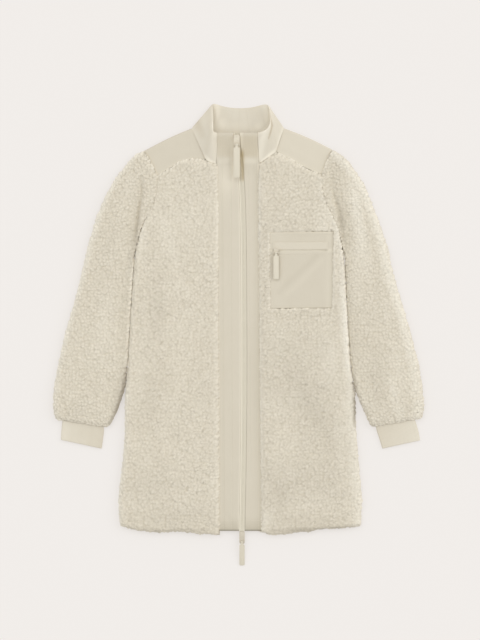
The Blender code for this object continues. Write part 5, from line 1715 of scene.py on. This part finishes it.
def pocket_patch():
    width, height = size_of(POCKET)
    across = crowded(width, (POCKET_SEAM, width - POCKET_SEAM))
    up = crowded(height, (POCKET_SEAM, *(height - seam for seam in CROSS_SEAMS)))
    net = corner_net(POCKET, across / width, up / height)
    x_near = np.minimum(across, width - across)[None, :]
    y_near = np.minimum(up, height - up)[:, None]
    round_all = rolled(x_near) * rolled(y_near)
    inside = np.minimum(x_near, y_near)
    top = POCKET_BASE + (POCKET_TOP - POCKET_BASE) * round_all
    top += 0.5 * soft_step(inside, 8, 30)
    low_seam = np.where(up < height / 2, np.abs(up - POCKET_SEAM), 99)[:, None]
    seams = np.minimum(np.abs(x_near - POCKET_SEAM), low_seam)
    for seam in CROSS_SEAMS:
        seams = np.minimum(seams, np.abs(height - seam - up)[:, None])
    top -= SEAM_DEPTH * bump(seams, SEAM_WIDTH / 2)
    thing = sewn_patch("pocket_cloth", net, top, POCKET_BASE - 0.2, POCKET_FOLDS)
    left_edge, right_edge = across[None, :], (width - across)[None, :]
    # Painted shade: darker beyond the left part and at the left edge, at the right and lower
    # edges and along the crease. Painted light: near the right edge, below the welt, at the top
    # edge and beside the crease.
    tone = 0.08 * soft_step(left_edge, 15, 45) + 0.08 * (1 - soft_step(left_edge, 0, 6))
    tone = tone + 0.26 * bump(right_edge - 0.6, 4.0) + 0.2 * bump(up[:, None] - 0.8, 1.6)
    places = net.reshape(-1, 2) * MM
    crease = 0.17 * bump(from_path(places, CREASE_SHADOW_PATH)[0], 6.5).reshape(top.shape)
    beside = 0.09 * bump(from_path(places, CREASE_LIGHT_PATH)[0], 6.0).reshape(top.shape)
    store_both(thing, "tone", np.clip(tone + crease, 0, 1))
    lit = 0.1 * bump(right_edge - 10, 5.0) + 0.25 * bump(up[:, None] - UNDER_WELT, 3.5)
    lit = lit + 0.5 * bump(height - up[:, None], 1.6)
    store_both(thing, "lit", np.clip(lit + beside, 0, 1))
    return thing


pocket = pocket_patch()
dress(pocket, "pocket")

# %% [markdown]
# The welt is one strip of the same cloth, folded along its lower edge and sewn down
# along the other three. It stands a little proud of the patch, so it catches light, and a
# little painted light lies on all of it.

# %% Welt and pocket zip
WELT = np.array([[72.8, 181.2], [191.2, 182.2], [191.2, 198.6], [72.8, 197.6]])
WELT_RISE = 1.5
WELT_SEAM = 2.2
WELT_GAP = 0.35         # between the patch and the zip in the opening
WELT_FOLDS = [
    Fold(96, 184, 106, 195, bow=1, width=5, depth=0.35),
    Fold(150, 183, 142, 196, bow=-1, width=6, depth=0.4),
]


def welt():
    width, height = size_of(WELT)
    across = crowded(width, (WELT_SEAM, width - WELT_SEAM))
    up = crowded(height, (height - WELT_SEAM,))
    net = corner_net(WELT, across / width, up / height)
    x_near = np.minimum(across, width - across)[None, :]
    sides = soft_step(x_near, -1.5, 8) * rolled((height - up)[:, None] * 1.4)
    top = POCKET_TOP + WELT_GAP + WELT_RISE * sides * rolled(up[:, None])
    seam = np.minimum(np.abs(x_near - WELT_SEAM), np.abs(height - WELT_SEAM - up)[:, None])
    top -= SEAM_DEPTH * bump(seam, SEAM_WIDTH / 2)
    thing = sewn_patch("pocket_welt", net, top, POCKET_TOP + 0.2, WELT_FOLDS)
    store_both(thing, "lit", 0.1 * np.ones(top.shape))
    return thing


pocket_welt = welt()
dress(pocket_welt, "pocket_zip")
TEETH_START, TEETH_END = (74.5, 179.2), (189.5, 180.2)
teeth_line = [(x * MM, y * MM, (POCKET_TOP + WELT_GAP) * MM)
              for x, y in np.linspace(TEETH_START, TEETH_END, 30)]
beads("pocket_teeth", [teeth_line], "tooth", slot="zip_tape", Pitch=TOOTH_PITCH,
      Long=1.2 * MM, Wide=2.0 * MM, High=1.1 * MM, Aside=0.7 * MM)

# %% Pocket stitches
def ring_of(corners, inset, sides):
    """Lines parallel to the chosen sides of four corners, moved in by inset mm."""
    centre = corners.mean(axis=0)
    lines = []
    for number in sides:
        a, b = corners[number], corners[(number + 1) % 4]
        along = (b - a) / np.linalg.norm(b - a)
        inward = np.array([-along[1], along[0]])
        inward *= np.sign((centre - a) @ inward)
        a, b = a + inward * inset + along * inset, b + inward * inset - along * inset
        steps = np.linspace(0, 1, 24)[:, None]
        lines.append(a * (1 - steps) + b * steps)
    return lines


on_patch = ring_of(POCKET, POCKET_SEAM, (0, 1, 3))
for seam in CROSS_SEAMS:
    on_patch += ring_of(POCKET, seam, (2,))
patch_surface, welt_surface = top_of(pocket), top_of(pocket_welt)
lines = [laid_line(line, patch_surface, STITCH_SINK) for line in on_patch]
lines += [laid_line(line, welt_surface, STITCH_SINK)
          for line in ring_of(WELT, WELT_SEAM, (1, 2, 3))]
beads("pocket_stitches", lines, "thread", Pitch=STITCH)

# %% [markdown]
# ## Sliders and pulls
#
# The sliders are cast metal in cream enamel. Their solids have the right form, so a
# copy only gets small round edges, as a casting has. The pulls are tabs of doubled
# tape. Each turns on its slider's bar, so it rides on its own body.

# %% Rounded copies of the hard parts
def rounded_copy(name, node, finish, radius):
    mesh = merged_copy(node)
    bmesh.ops.dissolve_limit(mesh, angle_limit=math.radians(1.0), verts=mesh.verts,
                             edges=mesh.edges)
    thing = made_object(name, mesh, finish)
    edge = thing.modifiers.new("edge", "BEVEL")
    edge.width = radius
    edge.segments = 2
    edge.limit_method = "ANGLE"
    edge.angle_limit = math.radians(35)
    applied(thing)
    thing.data.set_sharp_from_angle(angle=math.radians(40))
    return thing


# Painted shade: most on the bottom slider by the hem, some on the pocket's.
SLIDER_PAINTED_SHADE = {"slider_top": 0.0, "slider_bottom": 0.5, "pocket_slider": 0.3}
for node, shade_amount in SLIDER_PAINTED_SHADE.items():
    slider = rounded_copy(node + "_enamel", node, "slider_metal", 0.3 * MM)
    store(slider, "tone", np.full(len(slider.data.vertices), shade_amount))
    dress(slider, node)

PULL_BODY = {"pull_top": "top_pull", "pull_bottom": "bottom_pull", "pocket_pull": "chest_pull"}
# Painted shade on the pulls, most on the bottom one.
PULL_PAINTED_SHADE = {"pull_top": 0.03, "pull_bottom": 0.22, "pocket_pull": 0.03}
TAB_INSET = 1.9         # from a tab's edge to its stitches
TAB_EYE = 9.5           # the part round the bar, which has no stitches
for node, body in PULL_BODY.items():
    tab = rounded_copy(node + "_tape", node, "pull_tab", 0.35 * MM)
    store(tab, "tone", np.full(len(tab.data.vertices), PULL_PAINTED_SHADE[node]))
    dress(tab, node, body)
    low, high = (np.array(corner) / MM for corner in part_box(node))
    inset = np.array([[low[0], low[1]], [high[0], low[1]],
                      [high[0], high[1] - TAB_EYE], [low[0], high[1] - TAB_EYE]])
    tab_surface = top_of(tab)
    sides = [laid_line(line, tab_surface, 0.0)
             for line in ring_of(inset, TAB_INSET, (0, 1, 2, 3))]
    beads(node + "_stitches", sides, "thread", node_body=body, slot="pull_tab",
          Pitch=2.6 * MM, Long=1.7 * MM, Wide=0.5 * MM, High=0.35 * MM)

# %% [markdown]
# ## A row for what a sheet was cut to
#
# A pattern cutter needs the flat size of each piece. A closed wall piece counts once,
# and a tube, such as a sleeve, counts all round. The inside of a fold that doesn't show
# is left out. Here only the form of such a row, `Sheet`, is set; the sherpa panels' cut
# sizes stand in `PANELS`.

Sheet = namedtuple("Sheet", "name width length area rests_on")

# %% [markdown]
# ## Floor
#
# The picture has almost no shadow on the ground, so part of the paper's brightness is
# its own light.

# %% Floor
FLOOR_SHARE = 0.62
FLOOR_GLOW = (0.873, 0.840, 0.803)
FLOOR_LOW = (0.327, 0.314, 0.306, 1)
FLOOR_HIGH = (0.329, 0.316, 0.308, 1)
FLOOR_HALF = 14.0       # half its side, in metres
PAPER_GRAIN = 2 * MM
floor_mesh = bmesh.new()
bmesh.ops.create_grid(floor_mesh, x_segments=8, y_segments=8, size=FLOOR_HALF)
floor = made_object("floor", floor_mesh, "thread")
paper, shader, g = finish_material("paper", roughness=0.95, specular=0.1)
grain = noise(g, place(g), PAPER_GRAIN)
colour_and_bump(g, shader, g.blend(grain, FLOOR_LOW, FLOOR_HIGH), grain, 0.05 * MM, 0.2)
floor.data.materials[0] = paper
shader.inputs["Emission Color"].default_value = (*FLOOR_GLOW, 1)
shader.inputs["Emission Strength"].default_value = FLOOR_SHARE
floor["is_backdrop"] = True

# %% Sizes and the end
dressed_box = [list(corner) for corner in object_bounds()]
print("box before and after in mm:")
for before, after in zip(solid_box, dressed_box):
    print([round(v / MM, 1) for v in before], [round(v / MM, 1) for v in after])
triangles = {thing.name: sum(len(face.vertices) - 2 for face in thing.data.polygons)
             for thing in bpy.data.objects if thing.type == "MESH" and not thing.hide_render}
print("triangles:", sum(triangles.values()))
print("most:", sorted(triangles.items(), key=lambda row: -row[1])[:6])
